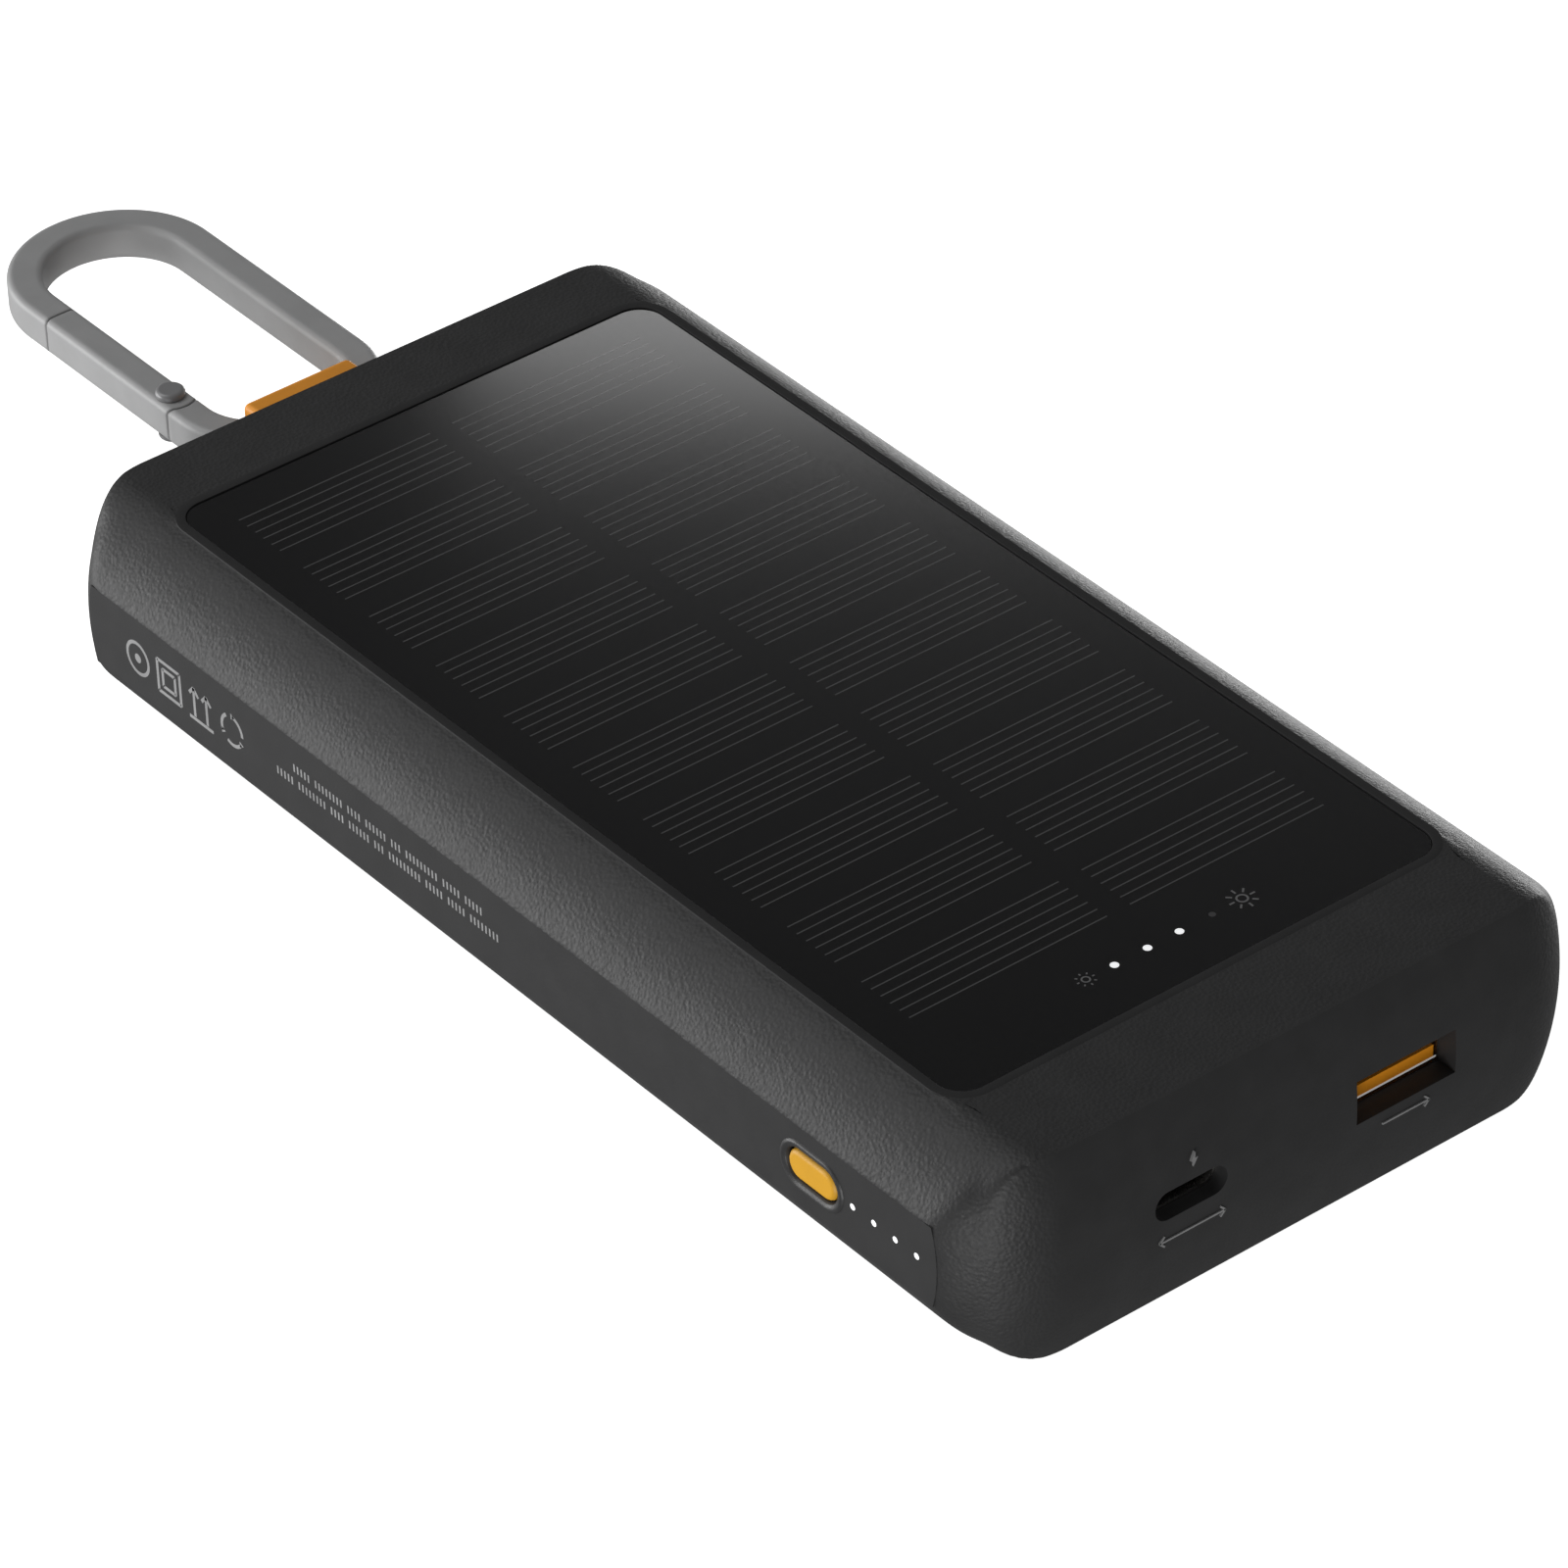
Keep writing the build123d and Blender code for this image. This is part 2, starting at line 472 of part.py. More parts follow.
axis_pin = rod_x(AXIS_R, AXIS_Y, MID_Z, -NECK_HALF, NECK_HALF) + rod_x(1.2, AXIS_Y, MID_Z, -10.2, 10.2)
save(axis_pin, "loop_axis_pin")
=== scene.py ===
"""Looks of a pocket solar phone charger with a swinging carabiner.

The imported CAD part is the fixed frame. Its nodes keep their shape and get a
procedural finish each. Printed marks, cell fingers and lamps are new pieces,
worked out as arrays and laid on the CAD faces they belong to.
"""

import itertools
import logging
import math
from dataclasses import dataclass, field
from enum import Enum
from typing import Iterable, Sequence

import bpy
import numpy as np
from mathutils import Matrix, Vector


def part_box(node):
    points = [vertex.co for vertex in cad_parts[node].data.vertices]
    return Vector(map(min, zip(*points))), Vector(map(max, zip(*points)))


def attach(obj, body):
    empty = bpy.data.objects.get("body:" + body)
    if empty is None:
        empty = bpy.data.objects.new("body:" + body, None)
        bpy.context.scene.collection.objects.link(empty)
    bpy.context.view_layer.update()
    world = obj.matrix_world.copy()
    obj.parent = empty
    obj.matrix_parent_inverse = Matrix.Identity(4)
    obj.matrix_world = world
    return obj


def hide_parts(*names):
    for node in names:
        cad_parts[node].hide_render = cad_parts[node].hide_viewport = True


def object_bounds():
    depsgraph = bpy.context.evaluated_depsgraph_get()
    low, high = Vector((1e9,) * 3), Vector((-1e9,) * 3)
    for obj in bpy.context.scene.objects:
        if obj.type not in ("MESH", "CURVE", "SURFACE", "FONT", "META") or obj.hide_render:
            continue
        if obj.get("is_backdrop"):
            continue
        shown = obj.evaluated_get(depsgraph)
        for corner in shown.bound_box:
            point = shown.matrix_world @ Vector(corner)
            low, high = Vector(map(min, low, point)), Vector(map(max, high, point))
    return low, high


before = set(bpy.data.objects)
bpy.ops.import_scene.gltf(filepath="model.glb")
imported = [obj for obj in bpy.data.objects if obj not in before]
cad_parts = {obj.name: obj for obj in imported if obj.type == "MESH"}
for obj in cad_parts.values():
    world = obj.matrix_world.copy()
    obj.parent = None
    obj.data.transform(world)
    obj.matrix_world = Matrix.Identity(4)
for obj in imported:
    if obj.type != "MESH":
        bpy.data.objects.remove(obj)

LOG = logging.getLogger("solar_charger")
MM = 0.001
TOUCH = 1e-6
ROUNDING = 1e-9
LEAST_LEAN = 1e-3
ALONG_X, ALONG_Y, ALONG_Z = np.eye(3)
Socket = bpy.types.NodeSocket


# ------------------------------------------------------------------ finishes
class Nodes:
    """Short way to place and join shader nodes of one material.

    Noise patterns mostly lie between `low_end` and `high_end`, which is the
    range that `spread` and `tint` stretch.
    """

    low_end = 0.3
    high_end = 0.7

    def __init__(self, name: str) -> None:
        """Start an empty material with an output and a Principled shader.

        Args:
            name: the material's name.
        """
        self.material = bpy.data.materials.new(name)
        self.material.use_nodes = True
        self.tree = self.material.node_tree
        self.tree.nodes.clear()
        self.output = self.tree.nodes.new("ShaderNodeOutputMaterial")
        self.shader = self.tree.nodes.new("ShaderNodeBsdfPrincipled")
        self.join(self.shader.outputs[0], self.output.inputs["Surface"])
        self.place = self.tree.nodes.new("ShaderNodeTexCoord").outputs["Object"]

    def join(self, source: Socket, target: Socket) -> None:
        """Link one socket to another."""
        self.tree.links.new(source, target)

    def noise(self, size: float, detail: float, roughness: float = 0.5) -> Socket:
        """Cloudy pattern in object space.

        Args:
            size: grain size in metres.
            detail: octaves.
            roughness: share kept by each finer octave.

        Returns:
            The factor socket, about 0 to 1.
        """
        node = self.tree.nodes.new("ShaderNodeTexNoise")
        node.inputs["Scale"].default_value = 1.0 / size
        node.inputs["Detail"].default_value = detail
        node.inputs["Roughness"].default_value = roughness
        self.join(self.place, node.inputs["Vector"])
        return node.outputs["Fac"]

    def pebbles(self, size: float) -> Socket:
        """Rounded cells with soft valleys, as on a spark-eroded mould.

        Args:
            size: cell size in metres.

        Returns:
            The distance socket, 0 at each cell's middle.
        """
        node = self.tree.nodes.new("ShaderNodeTexVoronoi")
        node.feature = "SMOOTH_F1"
        node.inputs["Scale"].default_value = 1.0 / size
        node.inputs["Smoothness"].default_value = 0.6
        self.join(self.place, node.inputs["Vector"])
        return node.outputs["Distance"]

    def spread(self, source: Socket, low: float, high: float) -> Socket:
        """Map a pattern onto low to high.

        Args:
            source: pattern socket.
            low: value where the pattern is low.
            high: value where the pattern is high.

        Returns:
            The mapped value.
        """
        node = self.tree.nodes.new("ShaderNodeMapRange")
        node.inputs["From Min"].default_value = self.low_end
        node.inputs["From Max"].default_value = self.high_end
        node.inputs["To Min"].default_value = low
        node.inputs["To Max"].default_value = high
        self.join(source, node.inputs["Value"])
        return node.outputs["Result"]

    def tint(self, source: Socket, low: Sequence[float], high: Sequence[float]) -> Socket:
        """Colour between two tones by a pattern.

        Args:
            source: pattern socket.
            low: colour where the pattern is low.
            high: colour where the pattern is high.

        Returns:
            The colour socket.
        """
        node = self.tree.nodes.new("ShaderNodeValToRGB")
        ends = node.color_ramp.elements
        ends[0].position, ends[1].position = self.low_end, self.high_end
        ends[0].color = (*low, 1.0)
        ends[1].color = (*high, 1.0)
        self.join(source, node.inputs["Fac"])
        return node.outputs["Color"]

    def relief(
        self,
        source: Socket,
        depth: float,
        under: Socket | None = None,
        mask: Socket | None = None,
    ) -> Socket:
        """Turn a pattern into a bumped normal.

        Args:
            source: height pattern.
            depth: height of the pattern in metres.
            under: normal that the bump is laid on.
            mask: share of the bump that shows, 0 to 1.

        Returns:
            The normal socket.
        """
        node = self.tree.nodes.new("ShaderNodeBump")
        node.inputs["Strength"].default_value = 1.0
        node.inputs["Distance"].default_value = depth
        self.join(source, node.inputs["Height"])
        if under is not None:
            self.join(under, node.inputs["Normal"])
        if mask is not None:
            self.join(mask, node.inputs["Strength"])
        return node.outputs["Normal"]

    def ramp_along(
        self, axis: int, start: float, end: float, both_sides: bool = False
    ) -> Socket:
        """Smooth 0 to 1 ramp along one object axis.

        Args:
            axis: 0, 1 or 2 for x, y or z.
            start: coordinate in metres where the ramp leaves 0.
            end: coordinate in metres where it reaches 1.
            both_sides: use the distance from the middle plane instead.

        Returns:
            The ramp's value.
        """
        split = self.tree.nodes.new("ShaderNodeSeparateXYZ")
        self.join(self.place, split.inputs[0])
        source = split.outputs[axis]
        if both_sides:
            distance = self.tree.nodes.new("ShaderNodeMath")
            distance.operation = "ABSOLUTE"
            self.join(source, distance.inputs[0])
            source = distance.outputs[0]
        node = self.tree.nodes.new("ShaderNodeMapRange")
        node.interpolation_type = "SMOOTHSTEP"
        node.inputs["From Min"].default_value = start
        node.inputs["From Max"].default_value = end
        self.join(source, node.inputs["Value"])
        return node.outputs["Result"]

    def larger(self, first: Socket, second: Socket) -> Socket:
        """Larger of two values.

        Args:
            first: one value.
            second: the other.

        Returns:
            The larger one.
        """
        node = self.tree.nodes.new("ShaderNodeMath")
        node.operation = "MAXIMUM"
        self.join(first, node.inputs[0])
        self.join(second, node.inputs[1])
        return node.outputs[0]

    def soft_edge(self, radius: float) -> Socket:
        """Normal that turns smoothly over the piece's own sharp edges.

        Args:
            radius: edge radius in metres.

        Returns:
            The normal socket.
        """
        node = self.tree.nodes.new("ShaderNodeBevel")
        node.samples = 6
        node.inputs["Radius"].default_value = radius
        return node.outputs["Normal"]


def shade(colour: Sequence[float], factor: float) -> tuple[float, ...]:
    """Colour made lighter or darker by a factor."""
    return tuple(min(1.0, c * factor) for c in colour)


@dataclass(frozen=True)
class Finish:
    """One surface finish, built from a colour, a grain and a gloss.

    The colour drifts by `mottle` over patches of `patch` metres, roughness
    drifts by `drift`, and the bump is a pattern of `grain` metres and `depth`
    metres high: a cloud, or cells with `cloud_share` of a cloud over them
    where it is `pebbled`.
    """

    name: str
    colour: tuple[float, float, float]
    roughness: float
    grain: float
    depth: float
    pebbled: bool = False
    mottle: float = 0.12
    drift: float = 0.05
    patch: float = 0.004
    metallic: float = 0.0
    specular: float = 0.5
    edge: float = 0.0
    glow: float = 0.0
    coat: float = 0.0
    coat_roughness: float = 0.08
    cloud_share: float = 0.5

    def build(self) -> bpy.types.Material:
        """Make the node material.

        Returns:
            The material, which can be shared between pieces.
        """
        nodes = Nodes(self.name)
        shader = nodes.shader.inputs
        cloud = nodes.noise(self.patch, detail=4.0)
        fine = nodes.noise(self.grain, detail=3.0, roughness=0.6)
        dark, pale = shade(self.colour, 1.0 - self.mottle), shade(self.colour, 1.0 + self.mottle)
        nodes.join(nodes.tint(cloud, dark, pale), shader["Base Color"])
        rough = nodes.spread(fine, self.roughness - self.drift, self.roughness + self.drift)
        nodes.join(rough, shader["Roughness"])
        shader["Metallic"].default_value = self.metallic
        shader["Specular IOR Level"].default_value = self.specular
        shader["Coat Weight"].default_value = self.coat
        shader["Coat Roughness"].default_value = self.coat_roughness
        if self.glow > 0.0:
            shader["Emission Color"].default_value = (*self.colour, 1.0)
            shader["Emission Strength"].default_value = self.glow
        under = nodes.soft_edge(self.edge) if self.edge > 0.0 else None
        if self.depth > 0.0:
            mask = self.grain_mask(nodes)
            height = nodes.pebbles(self.grain) if self.pebbled else fine
            under = nodes.relief(height, self.depth, under, mask)
            if self.pebbled:
                under = nodes.relief(fine, self.depth * self.cloud_share, under, mask)
        if under is not None:
            nodes.join(under, shader["Normal"])
        return nodes.material

    def grain_mask(self, nodes: Nodes) -> Socket | None:
        """Share of the grain that shows; None where it shows everywhere."""
        return None


@dataclass(frozen=True)
class ShellFinish(Finish):
    """Grained shell whose grain runs out round the corners of the port end.

    The grain grows from none at the first value of each ramp to full at the
    second: `corner_ramp` is the distance from the middle plane and `end_ramp`
    the frame y, both in metres.
    """

    corner_ramp: tuple[float, float] = (0.0275, 0.0330)
    end_ramp: tuple[float, float] = (-0.0752, -0.0742)

    def grain_mask(self, nodes: Nodes) -> Socket:
        """Full grain behind the port face, none on its flat middle.

        Args:
            nodes: the material being made.

        Returns:
            The share of the grain that shows.
        """
        outer = nodes.ramp_along(0, *self.corner_ramp, both_sides=True)
        behind = nodes.ramp_along(1, *self.end_ramp)
        return nodes.larger(outer, behind)


class Tone(Enum):
    """Every finish on the charger, by the part of it that wears it."""

    SHELL = ShellFinish(
        "shell_grained_charcoal", (0.0245, 0.0245, 0.025), 0.55, 0.00042, 0.000055,
        pebbled=True, specular=0.4,
    )
    RIM = Finish("panel_rim_charcoal", (0.021, 0.021, 0.0215), 0.60, 0.0003, 0.000006, specular=0.3)
    STRIP = Finish(
        "side_strip_satin_charcoal", (0.020, 0.020, 0.0205), 0.50, 0.00025, 0.000004,
        specular=0.45,
    )
    PLATE = Finish(
        "port_end_satin_charcoal", (0.0245, 0.0245, 0.025), 0.55, 0.00025, 0.000004,
        specular=0.4,
    )
    COVER = Finish(
        "underside_grained_charcoal", (0.028, 0.028, 0.029), 0.55, 0.0006, 0.00006,
        pebbled=True,
    )
    GLASS = Finish(
        "panel_tinted_glass", (0.0022, 0.0022, 0.0025), 0.095, 0.0005, 0.0,
        mottle=0.05, drift=0.012, specular=0.20,
    )
    FINGERS = Finish(
        "cell_finger_print", (0.058, 0.059, 0.060), 0.095, 0.0003, 0.0,
        mottle=0.05, drift=0.012, specular=0.20,
    )
    SUN_MARK = Finish("sun_mark_print", (0.170, 0.170, 0.172), 0.70, 0.0003, 0.0, specular=0.1)
    LAMP_LIT = Finish("lamp_lit_white", (0.86, 0.87, 0.88), 0.4, 0.0005, 0.0, mottle=0.02, glow=0.60)
    LAMP_DIM = Finish("lamp_unlit_grey", (0.045, 0.045, 0.046), 0.5, 0.0003, 0.0)
    PLATE_PRINT = Finish("pad_print_grey", (0.260, 0.260, 0.262), 0.65, 0.0003, 0.0, specular=0.2)
    STRIP_PRINT = Finish("strip_print_grey", (0.300, 0.300, 0.302), 0.62, 0.0003, 0.0, specular=0.2)
    CARABINER = Finish(
        "carabiner_satin_grey", (0.362, 0.363, 0.365), 0.46, 0.0003, 0.000006,
        mottle=0.04, edge=0.0005, specular=0.45,
    )
    RIVET = Finish(
        "rivet_satin_steel", (0.240, 0.240, 0.245), 0.40, 0.0002, 0.000004,
        mottle=0.05, metallic=0.2,
    )
    LOOP = Finish(
        "loop_orange_nylon", (0.850, 0.320, 0.014), 0.48, 0.0004, 0.00001,
        mottle=0.06, edge=0.0003,
    )
    BUTTON = Finish("button_amber_silicone", (0.680, 0.345, 0.010), 0.50, 0.0003, 0.000006, mottle=0.03)
    SURROUND = Finish("button_recess_charcoal", (0.024, 0.024, 0.025), 0.45, 0.0003, 0.000004)
    TONGUE = Finish("socket_tongue_orange", (0.900, 0.330, 0.012), 0.42, 0.0003, 0.000006, mottle=0.05)
    # painted highlight: a glowing pale grey for thin bars that stand in for light caught on the socket
    # edges
    EDGE_HIGHLIGHT_PAINT = Finish("socket_painted_edge_highlight", (0.62, 0.62, 0.62), 0.35, 0.0002, 0.000002, mottle=0.03, glow=0.35)
    SOCKET = Finish(
        "socket_nickel_steel", (0.42, 0.41, 0.39), 0.30, 0.0002, 0.000003,
        mottle=0.06, metallic=1.0,
    )
    STEEL = Finish("spring_steel", (0.50, 0.50, 0.51), 0.30, 0.0002, 0.000003, metallic=1.0)
    BLACK_STEEL = Finish("screw_black_oxide", (0.035, 0.035, 0.037), 0.35, 0.0002, 0.000006, metallic=0.9)
    GOLD = Finish("contact_gold", (0.78, 0.55, 0.20), 0.25, 0.0002, 0.000002, metallic=1.0)
    RUBBER = Finish("rubber_black", (0.020, 0.020, 0.020), 0.78, 0.0004, 0.00002, specular=0.3)
    BLACK = Finish("moulded_black", (0.015, 0.015, 0.015), 0.50, 0.0003, 0.000008)
    BOARD = Finish(
        "circuit_board_green", (0.012, 0.085, 0.040), 0.35, 0.0008, 0.000006,
        mottle=0.2, coat=0.3,
    )
    CHIP = Finish("chip_epoxy", (0.018, 0.018, 0.019), 0.55, 0.0002, 0.000004)
    FERRITE = Finish("inductor_ferrite", (0.060, 0.058, 0.056), 0.62, 0.0003, 0.00001)
    CAN = Finish("capacitor_can", (0.55, 0.55, 0.57), 0.30, 0.0004, 0.000004, metallic=0.9)
    WHITE = Finish("connector_nylon", (0.72, 0.70, 0.66), 0.50, 0.0004, 0.000006, mottle=0.04)
    GUIDE = Finish("light_guide_frosted", (0.82, 0.83, 0.84), 0.35, 0.0003, 0.0, mottle=0.02, glow=0.75)
    POUCH = Finish(
        "battery_pouch_foil", (0.52, 0.53, 0.55), 0.36, 0.0012, 0.00004,
        metallic=0.8, mottle=0.08,
    )
    FOAM = Finish("battery_foam", (0.090, 0.092, 0.096), 0.92, 0.0006, 0.00008, specular=0.1)
    CELL = Finish("solar_cell_silicon", (0.006, 0.008, 0.016), 0.30, 0.0015, 0.000004, mottle=0.3)
    TIN = Finish("tinned_ribbon", (0.60, 0.60, 0.60), 0.35, 0.0005, 0.00001, metallic=1.0)
    BOND = Finish("bond_black", (0.010, 0.010, 0.010), 0.65, 0.0006, 0.000006)


class Wardrobe:
    """Makes each finish once and hands it out."""

    def __init__(self) -> None:
        """Start with nothing made."""
        self._made: dict[Tone, bpy.types.Material] = {}

    def get(self, tone: Tone) -> bpy.types.Material:
        """Material of a tone, made the first time it is asked for.

        Args:
            tone: the finish.

        Returns:
            The material.
        """
        if tone not in self._made:
            self._made[tone] = tone.value.build()
        return self._made[tone]


WARDROBE = Wardrobe()


def dress(obj: bpy.types.Object, tone: Tone) -> None:
    """Give a whole piece one finish.

    Args:
        obj: CAD node or new piece.
        tone: the finish.
    """
    obj.data.materials.clear()
    obj.data.materials.append(WARDROBE.get(tone))
    LOG.info("%s wears %s", obj.name, tone.value.name)


def dress_nodes(tone: Tone, *names: str) -> None:
    """Give CAD nodes one finish.

    Args:
        tone: the finish.
        names: node names.
    """
    for name in names:
        dress(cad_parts[name], tone)


def node_box(name: str) -> tuple[np.ndarray, np.ndarray]:
    """Lowest and highest corner of a CAD node, as arrays in metres."""
    low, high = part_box(name)
    return np.array(low), np.array(high)


# -------------------------------------------------------------------- shapes
@dataclass(frozen=True)
class Face:
    """A flat place on the charger that marks are laid on.

    A mark drawn at (a, b) stands at origin + a * right + b * up, with its top
    `proud` metres above the face and its foot `sunk` metres below it.
    """

    origin: np.ndarray
    right: np.ndarray
    up: np.ndarray
    proud: float = 0.012 * MM
    sunk: float = 0.03 * MM

    def lift(self, flat: np.ndarray, height: float) -> np.ndarray:
        """Points of the face at a height over it.

        Args:
            flat: N x 2 array of (a, b), in metres.
            height: distance over the face.

        Returns:
            N x 3 array in the frame.
        """
        out = np.cross(self.right, self.up)
        return self.origin + flat[:, :1] * self.right + flat[:, 1:] * self.up + height * out


@dataclass
class Drawing:
    """Flat marks gathered into one closed mesh, drawn in millimetres.

    Every mark is a prism: its outline at the top, the same at the foot, and a
    wall between.
    """

    face: Face
    points: list[np.ndarray] = field(default_factory=list)
    faces: list[list[int]] = field(default_factory=list)
    count: int = 0

    def fill(self, outline: np.ndarray) -> None:
        """Filled outline, anticlockwise seen from outside.

        Args:
            outline: N x 2 array in mm.
        """
        n = len(outline)
        top = self.face.lift(outline * MM, self.face.proud)
        foot = self.face.lift(outline * MM, -self.face.sunk)
        start = self.count
        self.points += [top, foot]
        self.faces.append([start + i for i in range(n)])
        self.faces.append([start + n + n - 1 - i for i in range(n)])
        nxt = np.roll(np.arange(n), -1)
        walls = np.stack([np.arange(n), np.arange(n) + n, nxt + n, nxt], axis=1) + start
        self.faces += walls.tolist()
        self.count += 2 * n

    def disc(self, a: float, b: float, radius: float, sides: int = 28) -> None:
        """Round dot: centre plus radius times (cos, sin)."""
        turn = np.linspace(0.0, 2.0 * math.pi, sides, endpoint=False)
        self.fill(np.stack([a + radius * np.cos(turn), b + radius * np.sin(turn)], axis=1))

    def stroke(self, a0: float, b0: float, a1: float, b1: float, width: float) -> None:
        """Straight bar with square ends between two points.

        Args:
            a0: first point, along the face's right.
            b0: first point, along the face's up.
            a1: second point, along the face's right.
            b1: second point, along the face's up.
            width: width of the bar.
        """
        start, end = np.array([a0, b0]), np.array([a1, b1])
        along = (end - start) / np.linalg.norm(end - start)
        side = np.array([-along[1], along[0]]) * width / 2.0
        self.fill(np.stack([start - side, end - side, end + side, start + side]))

    def ring(
        self,
        a: float,
        b: float,
        radius: float,
        width: float,
        sides: int,
        start: float = 0.0,
        sweep: float = 360.0,
    ) -> None:
        """Annulus or arc made of short bars that share their end lines.

        Args:
            a: centre, along the face's right.
            b: centre, along the face's up.
            radius: radius of the middle line.
            width: width of the line.
            sides: number of bars.
            start: first angle in degrees.
            sweep: turn in degrees.
        """
        turn = np.radians(start + np.linspace(0.0, sweep, sides + 1))
        unit = np.stack([np.cos(turn), np.sin(turn)], axis=1)
        centre = np.array([a, b])
        inner = centre + unit * (radius - width / 2.0)
        outer = centre + unit * (radius + width / 2.0)
        for i in range(sides):
            self.fill(np.stack([inner[i], outer[i], outer[i + 1], inner[i + 1]]))

    def frame_lines(self, corners: Iterable[tuple[float, float]], width: float) -> None:
        """Closed outline of bars from corner to corner.

        Args:
            corners: corners in order.
            width: width of the bars.
        """
        loop = list(corners)
        for (a0, b0), (a1, b1) in zip(loop, loop[1:] + loop[:1]):
            self.stroke(a0, b0, a1, b1, width)

    def piece(self, name: str, tone: Tone, body: str, slot: str | None = None) -> bpy.types.Object:
        """Make the mesh object and let it ride on its body.

        Args:
            name: piece name.
            tone: finish.
            body: CAD body it moves with.
            slot: not used.

        Returns:
            The new object.
        """
        mesh = bpy.data.meshes.new(name)
        mesh.from_pydata(np.concatenate(self.points).tolist(), [], self.faces)
        mesh.update()
        return settle(bpy.data.objects.new(name, mesh), tone, body)


def settle(
    obj: bpy.types.Object, tone: Tone, body: str
) -> bpy.types.Object:
    """Put a new piece in the scene, finished and riding on a body.

    Args:
        obj: the new object, its place in its mesh.
        tone: finish.
        body: CAD body.

    Returns:
        The same object.
    """
    bpy.context.scene.collection.objects.link(obj)
    dress(obj, tone)
    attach(obj, body)
    return obj


@dataclass(frozen=True)
class Walk:
    """Stations once round a rounded rectangle, anticlockwise from above.

    `fx` and `fy` run from -1 to 1 along the straight sides and `turn` is the
    angle of the outward normal, so every rounded rectangle shares stations.
    """

    fx: np.ndarray
    fy: np.ndarray
    turn: np.ndarray

    @staticmethod
    def around(side: int, end: int, corner: int, near_stops: Sequence[float] = ()) -> "Walk":
        """Spread stations over the sides, ends and corners.

        Args:
            side: stations on each long side.
            end: stations on each end.
            corner: stations on each corner.
            near_stops: extra stations on the near end, as fx values.

        Returns:
            The walk.
        """
        far = np.linspace(1.0, -1.0, end, endpoint=False)
        near = np.unique(np.concatenate([-far, np.array(near_stops, float)]))
        near = near[near < 1.0]
        up = np.linspace(-1.0, 1.0, side, endpoint=False)
        bend = np.linspace(0.0, math.pi / 2, corner, endpoint=False)
        one, unit = np.ones(side), np.ones(corner)
        fx = [one, unit, far, -unit, -one, -unit, near, unit]
        fy = [up, unit, np.ones(end), unit, -up, -unit, -np.ones(len(near)), -unit]
        quarter = math.pi / 2
        turn = [
            0 * one, bend, np.full(end, quarter), quarter + bend, np.full(side, 2 * quarter),
            2 * quarter + bend, np.full(len(near), 3 * quarter), 3 * quarter + bend,
        ]
        return Walk(np.concatenate(fx), np.concatenate(fy), np.concatenate(turn))

    def normal(self) -> np.ndarray:
        """Outward unit normals, N x 2."""
        return np.stack([np.cos(self.turn), np.sin(self.turn)], axis=1)

    def loop(
        self, half_x: float, half_y: float, radius: float | np.ndarray, middle_y: float = 0.0
    ) -> np.ndarray:
        """Points of a rounded rectangle: corner centre plus radius times normal.

        Args:
            half_x: distance from the middle to the corner centres along x.
            half_y: the same along y.
            radius: corner radius, one value or one per station.
            middle_y: y of the middle.

        Returns:
            N x 2 array.
        """
        centre = np.stack([self.fx * half_x, middle_y + self.fy * half_y], axis=1)
        return centre + self.normal() * np.reshape(radius, (-1, 1))


def at_height(flat: np.ndarray, z: float) -> np.ndarray:
    """N x 2 points at one height, as an N x 3 array."""
    return np.column_stack([flat, np.full(len(flat), z)])


def skin_mesh(
    name: str,
    rows: np.ndarray,
    caps: tuple[bool, bool] = (False, False),
    keep: np.ndarray | None = None,
    crease: float = 32.0,
    ring: bool = False,
) -> bpy.types.Object:
    """Closed band of quads through rows of points.

    Row r, station i is joined to row r + 1 and station i + 1; the last
    station joins the first.

    Args:
        name: piece name.
        rows: R x N x 3 array in millimetres.
        caps: close the first row and the last row with one face each.
        keep: (R - 1) x N array, False where a quad is left out.
        crease: edges that turn by more degrees than this stay sharp.
        ring: join the last row to the first as well.

    Returns:
        The object, smooth shaded.
    """
    count, n = rows.shape[:2]
    index = np.arange(count * n).reshape(count, n)
    if ring:
        index = np.concatenate([index, index[:1]])
    nxt = np.roll(index, -1, axis=1)
    quads = np.stack([index[:-1], index[1:], nxt[1:], nxt[:-1]], axis=-1)
    quads = quads.reshape(-1, 4) if keep is None else quads[keep]
    faces = quads.tolist()
    if caps[0]:
        faces.append(index[0].tolist())
    if caps[1]:
        faces.append(index[-1][::-1].tolist())
    mesh = bpy.data.meshes.new(name)
    mesh.from_pydata((rows.reshape(-1, 3) * MM).tolist(), [], faces)
    mesh.polygons.foreach_set("use_smooth", np.ones(len(faces), bool))
    mesh.set_sharp_from_angle(angle=math.radians(crease))
    mesh.update()
    return bpy.data.objects.new(name, mesh)


# -------------------------------------------------------------- solar window
@dataclass(frozen=True)
class SunMark:
    """Small ring with eight rays round it, in mm.

    `rays` holds the radius where the rays start and where they end.
    """

    place: tuple[float, float]
    ring: float
    rays: tuple[float, float]
    width: float
    ring_sides: int = 24
    ray_count: int = 8

    def draw(self, drawing: Drawing) -> None:
        """Add the mark to a drawing.

        Args:
            drawing: drawing it is added to.
        """
        a, b = self.place
        start, end = self.rays
        drawing.ring(a, b, self.ring, self.width, self.ring_sides)
        for k in range(self.ray_count):
            turn = 2.0 * math.pi * k / self.ray_count
            c, s = math.cos(turn), math.sin(turn)
            drawing.stroke(a + start * c, b + start * s, a + end * c, b + end * s, self.width)


